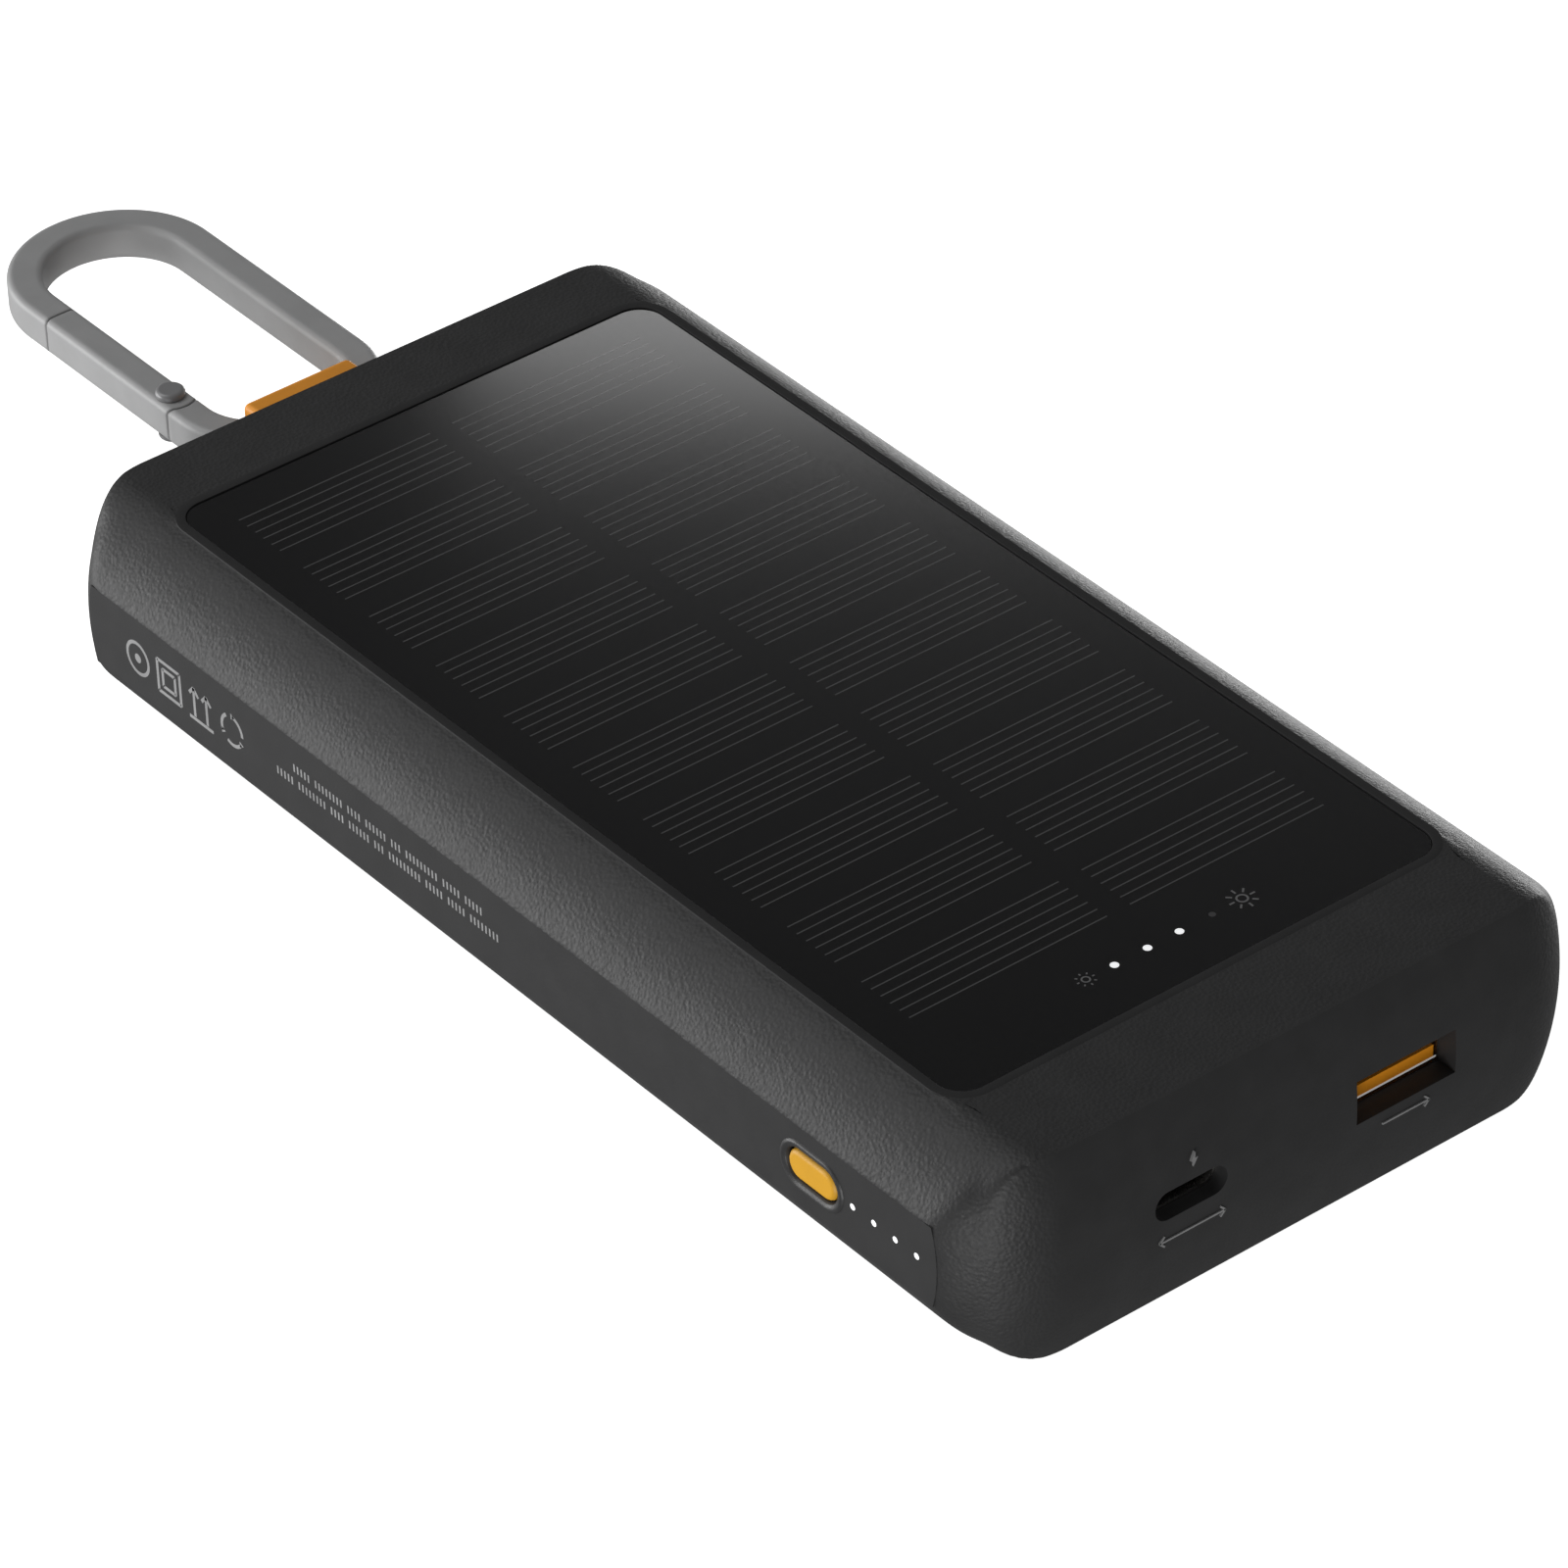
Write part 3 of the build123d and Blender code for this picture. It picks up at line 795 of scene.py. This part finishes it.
@dataclass
class SolarWindow:
    """The glass over the cells: collector fingers, sun marks and meter lamps."""

    columns: tuple[tuple[float, float], ...] = ((-26.2, -1.6), (1.3, 26.2))
    groups: int = 10
    lines: int = 6
    first_line: float = 59.87
    line_pitch: float = 1.45
    group_pitch: float = 11.4
    line_width: float = 0.17
    meter_y: float = -56.37
    lamp_x: tuple[float, ...] = (-6.05, -1.9, 2.14)
    dim_x: float = 6.30
    lamp_radius: float = 0.47
    dim_radius: float = 0.38
    small_sun: SunMark = SunMark((-9.60, -56.32), 0.42, (0.80, 1.08), 0.17)
    large_sun: SunMark = SunMark((10.18, -56.3), 0.57, (0.98, 1.62), 0.21)

    def face(self) -> Face:
        """Top of the glass, drawn in frame x and y."""
        top = node_box("solar_glass")[1][2]
        return Face(top * ALONG_Z, ALONG_X, ALONG_Y, proud=0.004 * MM)

    def fingers(self) -> None:
        """Six thin lines per cell, in two columns."""
        drawing = Drawing(self.face())
        for start, end in self.columns:
            for group in range(self.groups):
                for line in range(self.lines):
                    y = self.first_line - group * self.group_pitch - line * self.line_pitch
                    drawing.stroke(start, y, end, y, self.line_width)
        drawing.piece("collector_fingers", Tone.FINGERS, "housing")

    def suns(self) -> None:
        """Low and full sun marks at the ends of the meter."""
        drawing = Drawing(self.face())
        self.small_sun.draw(drawing)
        self.large_sun.draw(drawing)
        drawing.piece("sun_meter_marks", Tone.SUN_MARK, "housing")

    def lamps(self) -> None:
        """Three lit meter lamps and one unlit."""
        lit = Drawing(self.face())
        for x in self.lamp_x:
            lit.disc(x, self.meter_y, self.lamp_radius)
        lit.piece("sun_meter_lamps_lit", Tone.LAMP_LIT, "housing", "lamp_white")
        unlit = Drawing(self.face())
        unlit.disc(self.dim_x, self.meter_y, self.dim_radius)
        unlit.piece("sun_meter_lamp_unlit", Tone.LAMP_DIM, "housing")

    def build(self) -> None:
        """Dress the window's CAD nodes and lay on its marks."""
        dress_nodes(Tone.GLASS, "solar_glass")
        dress_nodes(Tone.CELL, "solar_cells_left", "solar_cells_right")
        dress_nodes(Tone.BOARD, "solar_backing_board")
        dress_nodes(Tone.BOND, "glass_bond_frame")
        dress_nodes(Tone.TIN, "solar_collector_ribbon")
        dress_nodes(Tone.WHITE, "sun_meter_lamp_bar")
        self.fingers()
        self.suns()
        self.lamps()


# ------------------------------------------------------------------- housing
@dataclass
class HousingSkin:
    """Outer skin of the shell: flat top, rolled shoulders and barrelled ends.

    At each height the plan is a rounded rectangle. On the long sides its
    reach is that of a superellipse shoulder, round the ends that of a wall
    bowed to an arc, and round the corners the smaller of the two, blended by
    a power mean so that the sharp end edge fades out round the corner. The
    mean's power is `blend_low` where the wall has turned by `blend_turn`
    degrees, and grows by `blend_rise` times the square of the further turn
    over `blend_span`.

    `well` is the recess behind the power button: its y range, half its height
    and how far from the middle plane its floor stands.
    """

    flat_half: float = 30.4
    half_width: float = 40.44
    power: float = 1.73
    half_length: float = 75.0
    bulge: float = 1.93
    corner: float = 10.8
    facet: float = 39.2
    facet_tuck: float = 0.02
    height: float = 24.16
    plate_half: float = 27.6
    plate_top: float = 23.46
    plate_back: float = -73.4
    rim_half: tuple[float, float] = (31.52, 64.71)
    rim_radius: float = 3.87
    rim_middle: float = 1.16
    cover_half: tuple[float, float] = (28.15, 69.95)
    cover_radius: float = 3.95
    pocket_floor: float = 21.95
    cover_depth: float = 2.0
    lip_drop: float = 0.004
    well: tuple[float, float, float, float] = (-57.5, -44.5, 4.2, 36.3)
    blend_low: float = 10.0
    blend_rise: float = 60.0
    blend_turn: float = 45.0
    blend_span: float = 30.0
    levels: int = 57
    stations: tuple[int, int, int] = (66, 40, 48)

    def heights(self) -> tuple[np.ndarray, np.ndarray]:
        """Relative heights 1 to -1 down the wall, and shoulder reach 0 to 1.

        Even steps of the superellipse angle, plus the top of the port plate
        and the two edges of the side facets.

        Returns:
            Relative heights, and the shoulder's reach at each.
        """
        angle = np.linspace(0.0, math.pi, self.levels)
        lift = np.sign(np.cos(angle)) * np.abs(np.cos(angle)) ** (2.0 / self.power)
        facet_reach = (self.facet - self.flat_half) / (self.half_width - self.flat_half)
        edge = (1.0 - facet_reach**self.power) ** (1.0 / self.power)
        plate = 2.0 * self.plate_top / self.height - 1.0
        lift = np.sort(np.concatenate([lift, [edge, -edge, plate]]))[::-1]
        reach = (1.0 - np.minimum(1.0, np.abs(lift) ** self.power)) ** (1.0 / self.power)
        return lift, reach

    def reach(self, walk: Walk, lift: np.ndarray, shoulder: np.ndarray) -> np.ndarray:
        """Corner radius at each height and station.

        Args:
            walk: stations.
            lift: relative heights.
            shoulder: shoulder reach at those heights.

        Returns:
            Heights x stations array in millimetres.
        """
        centre_x = self.half_width - self.bulge - self.corner
        mid = self.height / 2.0
        arc = (mid**2 + self.bulge**2) / (2.0 * self.bulge)
        bow = np.sqrt(arc**2 - (mid * lift) ** 2) - (arc - self.bulge)
        post = np.broadcast_to((self.corner + bow)[:, None], (len(lift), len(walk.turn)))
        lean = np.abs(np.cos(walk.turn))
        width = self.flat_half + (self.half_width - self.flat_half) * shoulder - centre_x
        side = width[:, None] / np.maximum(lean, LEAST_LEAN)[None, :]
        from_side = np.degrees(np.arccos(np.minimum(1.0, lean)))
        further = (from_side - self.blend_turn) / self.blend_span
        sharp = self.blend_low + self.blend_rise * further**2
        return np.exp(-np.logaddexp(-sharp * np.log(side), -sharp * np.log(post)) / sharp)

    def build(self) -> None:
        """Make the skin, which stands for the CAD shell."""
        centre_x = self.half_width - self.bulge - self.corner
        centre_y = self.half_length - self.corner
        stop = self.plate_half / centre_x
        walk = Walk.around(*self.stations, near_stops=(-stop, stop))
        lift, shoulder = self.heights()
        radius = self.reach(walk, lift, shoulder)
        plan = np.stack([walk.loop(centre_x, centre_y, r) for r in radius])
        levels = self.height / 2.0 * (1.0 + lift)
        wall = np.stack([at_height(flat, z) for flat, z in zip(plan, levels)])

        # the wall stops at the outline of the panel's rim
        rim_x, rim_y = (half - self.rim_radius for half in self.rim_half)
        rim = walk.loop(rim_x, rim_y, self.rim_radius, self.rim_middle)
        inside = np.einsum("rnk,nk->rn", plan - rim, walk.normal()) < 0.0
        wall[..., :2] = np.where(inside[..., None], rim[None], wall[..., :2])

        # flat facets behind the side strips, and the button's well in one of them
        beyond = np.abs(wall[..., 0]) > self.facet + TOUCH
        y0, y1, half_z, deep = self.well
        in_well = (wall[..., 0] < 0) & (wall[..., 1] > y0) & (wall[..., 1] < y1)
        in_well &= np.abs(wall[..., 2] - self.height / 2) < half_z
        tucked = np.where(in_well, deep, self.facet - self.facet_tuck)
        wall[..., 0] = np.where(beyond, np.sign(wall[..., 0]) * tucked, wall[..., 0])

        # stations behind the port plate, whose place in the wall is left open
        on_end = (walk.fy == -1.0) & (np.abs(walk.turn - 1.5 * math.pi) < ROUNDING)
        near = on_end & (np.abs(walk.fx) <= stop + ROUNDING)
        wall[-1, near & (np.abs(walk.fx) < stop - ROUNDING), 1] = self.plate_back

        apron = (rim + wall[0, :, :2]) / 2.0
        cover_x, cover_y = (half - self.cover_radius for half in self.cover_half)
        cover = walk.loop(cover_x, cover_y, self.cover_radius)
        pocket = [
            at_height(rim, self.pocket_floor),
            at_height(rim, self.height - self.lip_drop),
            at_height(apron, self.height),
        ]
        recess = [at_height(cover, 0.0), at_height(cover, self.cover_depth)]
        rows = np.stack([*pocket, *wall, *recess])
        low = rows[:-1, 0, 2] <= self.plate_top + TOUCH
        low[: len(pocket)] = False
        low[-len(recess) :] = False
        keep = np.ones((len(rows) - 1, len(walk.turn)), bool)
        keep[np.ix_(low, near & np.roll(near, -1))] = False
        skin = skin_mesh("housing_skin", rows, (True, True), keep)
        settle(skin, Tone.SHELL, "housing")
        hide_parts("housing_shell")


@dataclass
class PanelRim:
    """Slim raised frame round the glass, a small rounded bar swept round it."""

    half: tuple[float, float] = (30.75, 63.94)
    radius: float = 3.1
    middle_y: float = 1.16
    width: float = 1.07
    top: float = 24.16
    depth: float = 1.2
    edge: float = 0.03
    edge_steps: int = 5
    stations: tuple[int, int, int] = (24, 14, 20)

    def build(self) -> None:
        """Sweep the bar: inner wall, rounded edges, flat top, outer wall."""
        walk = Walk.around(*self.stations)
        bend = np.linspace(0.0, math.pi / 2, self.edge_steps)
        e, w = self.edge, self.width
        inner = np.stack([e - e * np.cos(bend), self.top - e + e * np.sin(bend)], axis=1)
        outer = np.stack([w - inner[::-1, 0], inner[::-1, 1]], axis=1)
        foot = self.top - self.depth
        profile = np.concatenate([[[0.0, foot]], inner, outer, [[w, foot]]])
        half_x, half_y = (half - self.radius for half in self.half)
        rows = [
            at_height(walk.loop(half_x, half_y, self.radius + offset, self.middle_y), z)
            for offset, z in profile
        ]
        rim = skin_mesh("panel_rim", np.stack(rows), crease=60.0, ring=True)
        settle(rim, Tone.RIM, "housing")


@dataclass
class StripMarks:
    """Plain pictograms and two rows of small ticks on the power button strip.

    Each pictogram is drawn round (a, middle_z) on the strip, where a runs
    along frame -y. A row of ticks is (start y, end y, middle height), broken
    into groups by gaps of one tick.
    """

    far_y: float = 61.0
    step: float = 5.6
    middle_z: float = 11.9
    line: float = 0.42
    target_radii: tuple[float, float] = (1.9, 0.55)
    square_halves: tuple[float, float] = (2.0, 1.1)
    arrow_shift: float = 1.1
    arrow_ends: tuple[float, float] = (-1.9, 1.7)
    arrow_barb: tuple[float, float] = (0.8, 0.8)
    ground: tuple[float, float] = (2.1, -2.2)
    cycle_radius: float = 1.8
    cycle_sweep: float = 85.0
    cycle_tip: float = 0.45
    rows: tuple[tuple[float, float, float], ...] = ((33.2, 2.1, 13.3), (36.2, -1.1, 11.45))
    groups: tuple[int, ...] = (5, 8, 4, 6, 3, 9, 5)
    pitch: float = 0.62
    tick_height: float = 0.95
    tick_width: float = 0.24

    def target(self, drawing: Drawing, a: float) -> None:
        """Ring with a dot in it.

        Args:
            drawing: drawing it is added to.
            a: middle of the pictogram along the strip in mm.
        """
        ring, dot = self.target_radii
        drawing.ring(a, self.middle_z, ring, self.line, 32)
        drawing.disc(a, self.middle_z, dot)

    def squares(self, drawing: Drawing, a: float) -> None:
        """Square inside a square.

        Args:
            drawing: drawing it is added to.
            a: middle of the pictogram along the strip in mm.
        """
        z = self.middle_z
        for h in self.square_halves:
            outline = ((a - h, z - h), (a + h, z - h), (a + h, z + h), (a - h, z + h))
            drawing.frame_lines(outline, self.line)

    def up_arrows(self, drawing: Drawing, a: float) -> None:
        """Two upward arrows over a ground line.

        Args:
            drawing: drawing it is added to.
            a: middle of the pictogram along the strip in mm.
        """
        z, w = self.middle_z, self.line
        foot, tip = self.arrow_ends
        out, high = self.arrow_barb
        for x in (a - self.arrow_shift, a + self.arrow_shift):
            drawing.stroke(x, z + foot, x, z + tip, w)
            drawing.stroke(x, z + tip, x - out, z + high, w)
            drawing.stroke(x, z + tip, x + out, z + high, w)
        half, level = self.ground
        drawing.stroke(a - half, z + level, a + half, z + level, w)

    def cycle(self, drawing: Drawing, a: float) -> None:
        """Three arcs round a ring, each with a pointed end.

        Args:
            drawing: drawing it is added to.
            a: middle of the pictogram along the strip in mm.
        """
        z, r = self.middle_z, self.cycle_radius
        for start in (0.0, 120.0, 240.0):
            drawing.ring(a, z, r, self.line, 10, start, self.cycle_sweep)
            turn = math.radians(start + self.cycle_sweep)
            drawing.disc(a + r * math.cos(turn), z + r * math.sin(turn), self.cycle_tip, sides=3)

    def ticks(self, drawing: Drawing, start_y: float, end_y: float, height: float) -> None:
        """Row of upright ticks in groups.

        Args:
            drawing: drawing it is added to.
            start_y: frame y of the first tick in mm.
            end_y: frame y after which no group starts.
            height: middle height of the ticks in mm.
        """
        low, high = height - self.tick_height / 2, height + self.tick_height / 2
        here, groups = -start_y, itertools.cycle(self.groups)
        while here < -end_y:
            for _ in range(next(groups)):
                drawing.stroke(here, low, here, high, self.tick_width)
                here += self.pitch
            here += self.pitch

    def build(self, face: Face) -> None:
        """Draw the marks.

        Args:
            face: the strip, drawn in frame -y and z.
        """
        drawing = Drawing(face)
        for place, mark in enumerate((self.target, self.squares, self.up_arrows, self.cycle)):
            mark(drawing, place * self.step - self.far_y)
        for row in self.rows:
            self.ticks(drawing, *row)
        drawing.piece("strip_marks", Tone.STRIP_PRINT, "housing")


@dataclass
class Housing:
    """Shell, strips, port plate and underside, with their printed marks."""

    port_x: tuple[float, float] = (-13.8, 13.3)
    bolt: tuple[float, float] = (-13.6, 16.7)
    mark_z: float = 8.55
    arrow_lengths: tuple[float, float] = (8.2, 6.0)
    arrow_head: float = 0.62
    print_width: float = 0.2

    def plate_face(self) -> Face:
        """Port end at mid height, drawn in frame x and z."""
        low = node_box("port_end_plate")[0]
        return Face(low[1] * ALONG_Y, ALONG_X, ALONG_Z, proud=0.01 * MM, sunk=0.5 * MM)

    def strip_face(self) -> Face:
        """Power button strip, drawn in frame -y and z."""
        low = node_box("side_strip_button_side")[0]
        return Face(low[0] * ALONG_X, -ALONG_Y, ALONG_Z, proud=0.01 * MM)

    def arrow(self, drawing: Drawing, a: float, b: float, length: float, both: bool) -> None:
        """Flat arrow, with one head or two.

        Args:
            drawing: drawing it is added to.
            a: middle along the face in mm.
            b: height on the face in mm.
            length: whole length in mm.
            both: True for a head at each end.
        """
        head, width = self.arrow_head, self.print_width
        ends = (-1.0, 1.0) if both else (1.0,)
        drawing.stroke(a - length / 2, b, a + length / 2, b, width)
        for side in ends:
            tip = a + side * length / 2
            for rise in (-head, head):
                drawing.stroke(tip, b, tip - side * head, b + rise, width)

    def port_marks(self) -> None:
        """Bolt over the charging socket and flow arrows under both sockets."""
        drawing = Drawing(self.plate_face())
        upper = [[0.12, 0.8], [-0.42, -0.1], [-0.06, -0.1]]
        lower = [[-0.14, -0.8], [0.42, 0.14], [0.06, 0.14]]
        drawing.fill(np.array(upper + lower) + self.bolt)
        for x, length, both in zip(self.port_x, self.arrow_lengths, (True, False)):
            self.arrow(drawing, x, self.mark_z, length, both)
        drawing.piece("port_marks", Tone.PLATE_PRINT, "housing")

    def build(self) -> None:
        """Dress the outer nodes and print the marks."""
        dress_nodes(Tone.SHELL, "housing_shell")
        HousingSkin().build()
        PanelRim().build()
        dress_nodes(Tone.PLATE, "port_end_plate")
        dress_nodes(Tone.STRIP, "side_strip_button_side", "side_strip_plain_side")
        dress_nodes(Tone.COVER, "bottom_cover")
        for side in ("left_port_end", "left_far_end", "right_port_end", "right_far_end"):
            dress_nodes(Tone.BLACK_STEEL, "cover_screw_" + side)
            dress_nodes(Tone.RUBBER, "screw_plug_" + side)
        self.port_marks()
        StripMarks().build(self.strip_face())


# ------------------------------------------------------------------- sockets
@dataclass
class Sockets:
    """The two sockets behind the port plate, with painted highlights along their mouths."""

    c_middle: float = -13.95
    c_front: float = -74.45
    # path, widths and low line of the painted highlight bars on the two socket mouths
    c_highlight_path: tuple[tuple[float, float], ...] = ((-3.6, 0.05), (3.0, 0.05), (3.5, 0.45), (3.62, 1.1))
    c_highlight_width: float = 0.13
    a_span: tuple[float, float] = (7.1, 19.5)
    a_front: float = -74.2
    a_low: float = 10.62
    a_highlight_width: float = 0.18
    middle_z: float = 12.7
    proud: float = 0.03

    def front(self, y: float) -> Drawing:
        """Start a drawing across the mouth of a socket, in frame x and z."""
        return Drawing(Face(y * MM * ALONG_Y, ALONG_X, ALONG_Z, proud=self.proud * MM))

    def paint_edge_highlights(self) -> None:
        """Painted highlights: glowing bars under the small tongue and up its mouth, and under the large
        tongue, for light caught on the socket edges.
        """
        small = self.front(self.c_front)
        path = [(self.c_middle + x, self.middle_z + z) for x, z in self.c_highlight_path]
        for (a0, b0), (a1, b1) in zip(path, path[1:]):
            small.stroke(a0, b0, a1, b1, self.c_highlight_width)
        small.piece("usb_c_bright_edge", Tone.EDGE_HIGHLIGHT_PAINT, "housing")
        large = self.front(self.a_front)
        large.stroke(self.a_span[0], self.a_low, self.a_span[1], self.a_low, self.a_highlight_width)
        large.piece("usb_a_bright_edge", Tone.EDGE_HIGHLIGHT_PAINT, "housing")

    def build(self) -> None:
        """Dress the sockets."""
        # painted highlights on the socket edges, drawn as glowing bars
        self.paint_edge_highlights()
        dress_nodes(Tone.SOCKET, "usb_a_shell", "usb_c_shell")
        dress_nodes(Tone.TONGUE, "usb_a_tongue")
        dress_nodes(Tone.GOLD, "usb_a_contacts")
        dress_nodes(Tone.BLACK, "usb_c_tongue", "usb_c_riser")


@dataclass
class Controls:
    """Power button, its recess and the charge lamps."""

    button_y: float = -50.9
    button_z: float = 12.08
    straight: float = 1.9
    radius: float = 1.75
    face_x: float = -39.2
    bead: float = 0.22
    bead_span: tuple[float, float] = (1.19, 0.30)
    bead_lean: float = 0.8
    skirt: float = 1.0
    rows: int = 13
    stations: tuple[int, int, int] = (10, 2, 14)

    def surround(self) -> None:
        """Low rounded bead round the button: a pill outline carried over a curve.

        Rows step from a skirt beside the button out to the strip, rising and
        falling by a sine of the way across.
        """
        walk = Walk.around(*self.stations)
        outer, inner = self.bead_span
        way = np.linspace(0.0, 1.0, self.rows)
        offsets = [*(outer - (outer - inner) * way), inner]
        depths = [*(-self.bead * np.sin(math.pi * way**self.bead_lean)), self.skirt]
        rows = []
        for offset, depth in zip(offsets[::-1], depths[::-1]):
            flat = walk.loop(0.0, self.straight, self.radius + offset)
            x = np.full(len(flat), self.face_x + depth)
            rows.append(np.stack([x, self.button_y + flat[:, 1], self.button_z + flat[:, 0]], axis=1))
        bead = skin_mesh("button_dish", np.stack(rows), crease=70.0)
        settle(bead, Tone.SURROUND, "housing")
        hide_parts("button_surround")

    def build(self) -> None:
        """Dress the button and the lamps."""
        self.surround()
        dress_nodes(Tone.BUTTON, "power_button_cap")
        dress_nodes(Tone.BLACK, "power_button_stem", "tact_switch_body")
        dress_nodes(Tone.SURROUND, "button_surround")
        dress_nodes(Tone.GUIDE, "charge_lamp_light_guides")
        dress_nodes(Tone.WHITE, "charge_lamp_bar")


@dataclass
class Inside:
    """Boards and battery, seen only when the charger is opened."""

    def build(self) -> None:
        """Dress the electronics and the battery."""
        dress_nodes(Tone.BOARD, "main_board", "side_board", "battery_guard_board")
        dress_nodes(Tone.CHIP, "charge_controller")
        dress_nodes(Tone.FERRITE, "boost_inductor", "solar_inductor")
        dress_nodes(Tone.CAN, "output_capacitor", "solar_capacitor")
        dress_nodes(Tone.WHITE, "battery_connector")
        for side in ("left", "right"):
            dress_nodes(Tone.POUCH, f"battery_cell_{side}_lower", f"battery_cell_{side}_upper")
            dress_nodes(Tone.TIN, f"battery_tabs_{side}")
        dress_nodes(Tone.FOAM, "battery_foam_middle", "battery_foam_top", "battery_foam_bottom")


@dataclass
class Carabiner:
    """Orange loop, swinging frame, gate and rivet."""

    def build(self) -> None:
        """Dress the carabiner."""
        dress_nodes(Tone.LOOP, "carabiner_loop")
        dress_nodes(Tone.BLACK, "loop_anchor_block")
        dress_nodes(Tone.STEEL, "loop_anchor_pin", "loop_axis_pin", "gate_spring")
        dress_nodes(Tone.CARABINER, "carabiner_frame", "carabiner_pivot_arm", "carabiner_gate")
        dress_nodes(Tone.RIVET, "gate_rivet")


# -------------------------------------------------------------------- studio
@dataclass(frozen=True)
class Softbox:
    """Square studio light aimed at the charger.

    It stands `distance` metres away in the direction given by its bearing,
    clockwise from +Y towards +X, and its elevation.
    """

    name: str
    bearing: float
    elevation: float
    distance: float
    width: float
    height: float
    power: float
    only: tuple[str, ...] = ()

    def build(self, target: Vector) -> None:
        """Place the light.

        A light with names in `only` reaches nothing else.

        Args:
            target: point it looks at.
        """
        a, e = math.radians(self.bearing), math.radians(self.elevation)
        away = Vector((math.sin(a) * math.cos(e), math.cos(a) * math.cos(e), math.sin(e)))
        data = bpy.data.lights.new(self.name, "AREA")
        data.shape = "RECTANGLE"
        data.size, data.size_y = self.width, self.height
        data.energy = self.power
        light = bpy.data.objects.new(self.name, data)
        light.location = target + away * self.distance
        light.rotation_euler = away.to_track_quat("Z", "Y").to_euler()
        if self.only:
            lit = bpy.data.collections.new(self.name + "_receivers")
            for name in self.only:
                lit.objects.link(bpy.data.objects[name])
            light.light_linking.receiver_collection = lit
        bpy.context.scene.collection.objects.link(light)


@dataclass
class Studio:
    """Pale floor, soft lights and the camera."""

    place: tuple[float, float, float] = (-0.4217, -0.5506, 0.52107)
    azimuth: float = -37.307
    elevation: float = 36.324
    roll: float = -1.923
    lens: float = 195.1
    floor_half: float = 6.0
    floor_drop: float = 0.0002
    floor_glow: float = 0.95
    floor_tones: tuple[float, float] = (0.86, 0.88)
    ambient: float = 0.23
    lights: tuple[Softbox, ...] = (
        Softbox("back_light", 48.4, 13.3, 1.6, 0.72, 1.2, 17.5, ("solar_glass", "collector_fingers")),
        Softbox("left_fill", -43.0, 0.0, 0.85, 0.8, 0.40, 6.2),
        Softbox("left_top", -35.0, 55.0, 1.6, 1.0, 1.0, 6.5),
        Softbox("corner_fill", -134.0, -16.0, 1.1, 0.5, 0.5, 6.0),
        Softbox("right_rim", 68.0, -9.0, 1.2, 0.9, 0.40, 7.0),
    )

    def camera(self) -> None:
        """Camera looking along its azimuth and elevation, turned by its roll."""
        a, e, r = (math.radians(v) for v in (self.azimuth, self.elevation, self.roll))
        back = Vector((math.sin(a) * math.cos(e), -math.cos(a) * math.cos(e), math.sin(e)))
        level = Vector((math.cos(a), math.sin(a), 0.0))
        rise = back.cross(level)
        right = level * math.cos(r) + rise * math.sin(r)
        up = back.cross(right)
        data = bpy.data.cameras.new("camera")
        data.lens = self.lens
        data.clip_end = 50.0
        camera = bpy.data.objects.new("camera", data)
        turn = Matrix((right, up, back)).transposed().to_4x4()
        camera.matrix_world = Matrix.Translation(Vector(self.place)) @ turn
        bpy.context.scene.collection.objects.link(camera)
        bpy.context.scene.camera = camera

    def floor(self) -> None:
        """Large pale sheet just under the charger, with a faint drift of tone.

        Only the camera sees it, so a light that stands lower still reaches
        the charger.
        """
        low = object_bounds()[0]
        h = self.floor_half
        z = low[2] - self.floor_drop
        mesh = bpy.data.meshes.new("floor")
        mesh.from_pydata([(-h, -h, z), (h, -h, z), (h, h, z), (-h, h, z)], [], [(0, 1, 2, 3)])
        floor = bpy.data.objects.new("floor", mesh)
        nodes = Nodes("floor_white_card")
        cloud = nodes.noise(0.5, detail=2.0)
        shader = nodes.shader.inputs
        dark, pale = ((tone,) * 3 for tone in self.floor_tones)
        nodes.join(nodes.tint(cloud, dark, pale), shader["Base Color"])
        shader["Roughness"].default_value = 0.9
        shader["Specular IOR Level"].default_value = 0.1
        shader["Emission Color"].default_value = (1.0, 1.0, 1.0, 1.0)
        shader["Emission Strength"].default_value = self.floor_glow
        mesh.materials.append(nodes.material)
        floor.visible_glossy = False
        floor.visible_diffuse = False
        floor.visible_shadow = False
        bpy.context.scene.collection.objects.link(floor)
        floor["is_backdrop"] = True

    def world(self) -> None:
        """Dim even surroundings."""
        world = bpy.data.worlds.new("surroundings")
        world.use_nodes = True
        background = world.node_tree.nodes["Background"]
        background.inputs["Color"].default_value = (1.0, 1.0, 1.0, 1.0)
        background.inputs["Strength"].default_value = self.ambient
        bpy.context.scene.world = world

    def build(self) -> None:
        """Set the whole studio."""
        bpy.context.scene.view_settings.view_transform = "Standard"
        low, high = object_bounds()
        target = (low + high) / 2
        for light in self.lights:
            light.build(target)
        self.floor()
        self.world()
        self.camera()


def corners(box: tuple[Vector, Vector]) -> list[list[float]]:
    """Two corners as plain lists."""
    return [[float(v) for v in corner] for corner in box]


def main() -> None:
    """Build every sub-assembly, then the studio."""
    logging.basicConfig(level=logging.INFO, format="%(name)s: %(message)s")
    cad = corners(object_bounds())
    for assembly in (Housing(), SolarWindow(), Sockets(), Controls(), Inside(), Carabiner()):
        LOG.info("building %s", type(assembly).__name__)
        assembly.build()
    visual = corners(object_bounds())
    Studio().build()


if __name__ == "__main__":
    main()
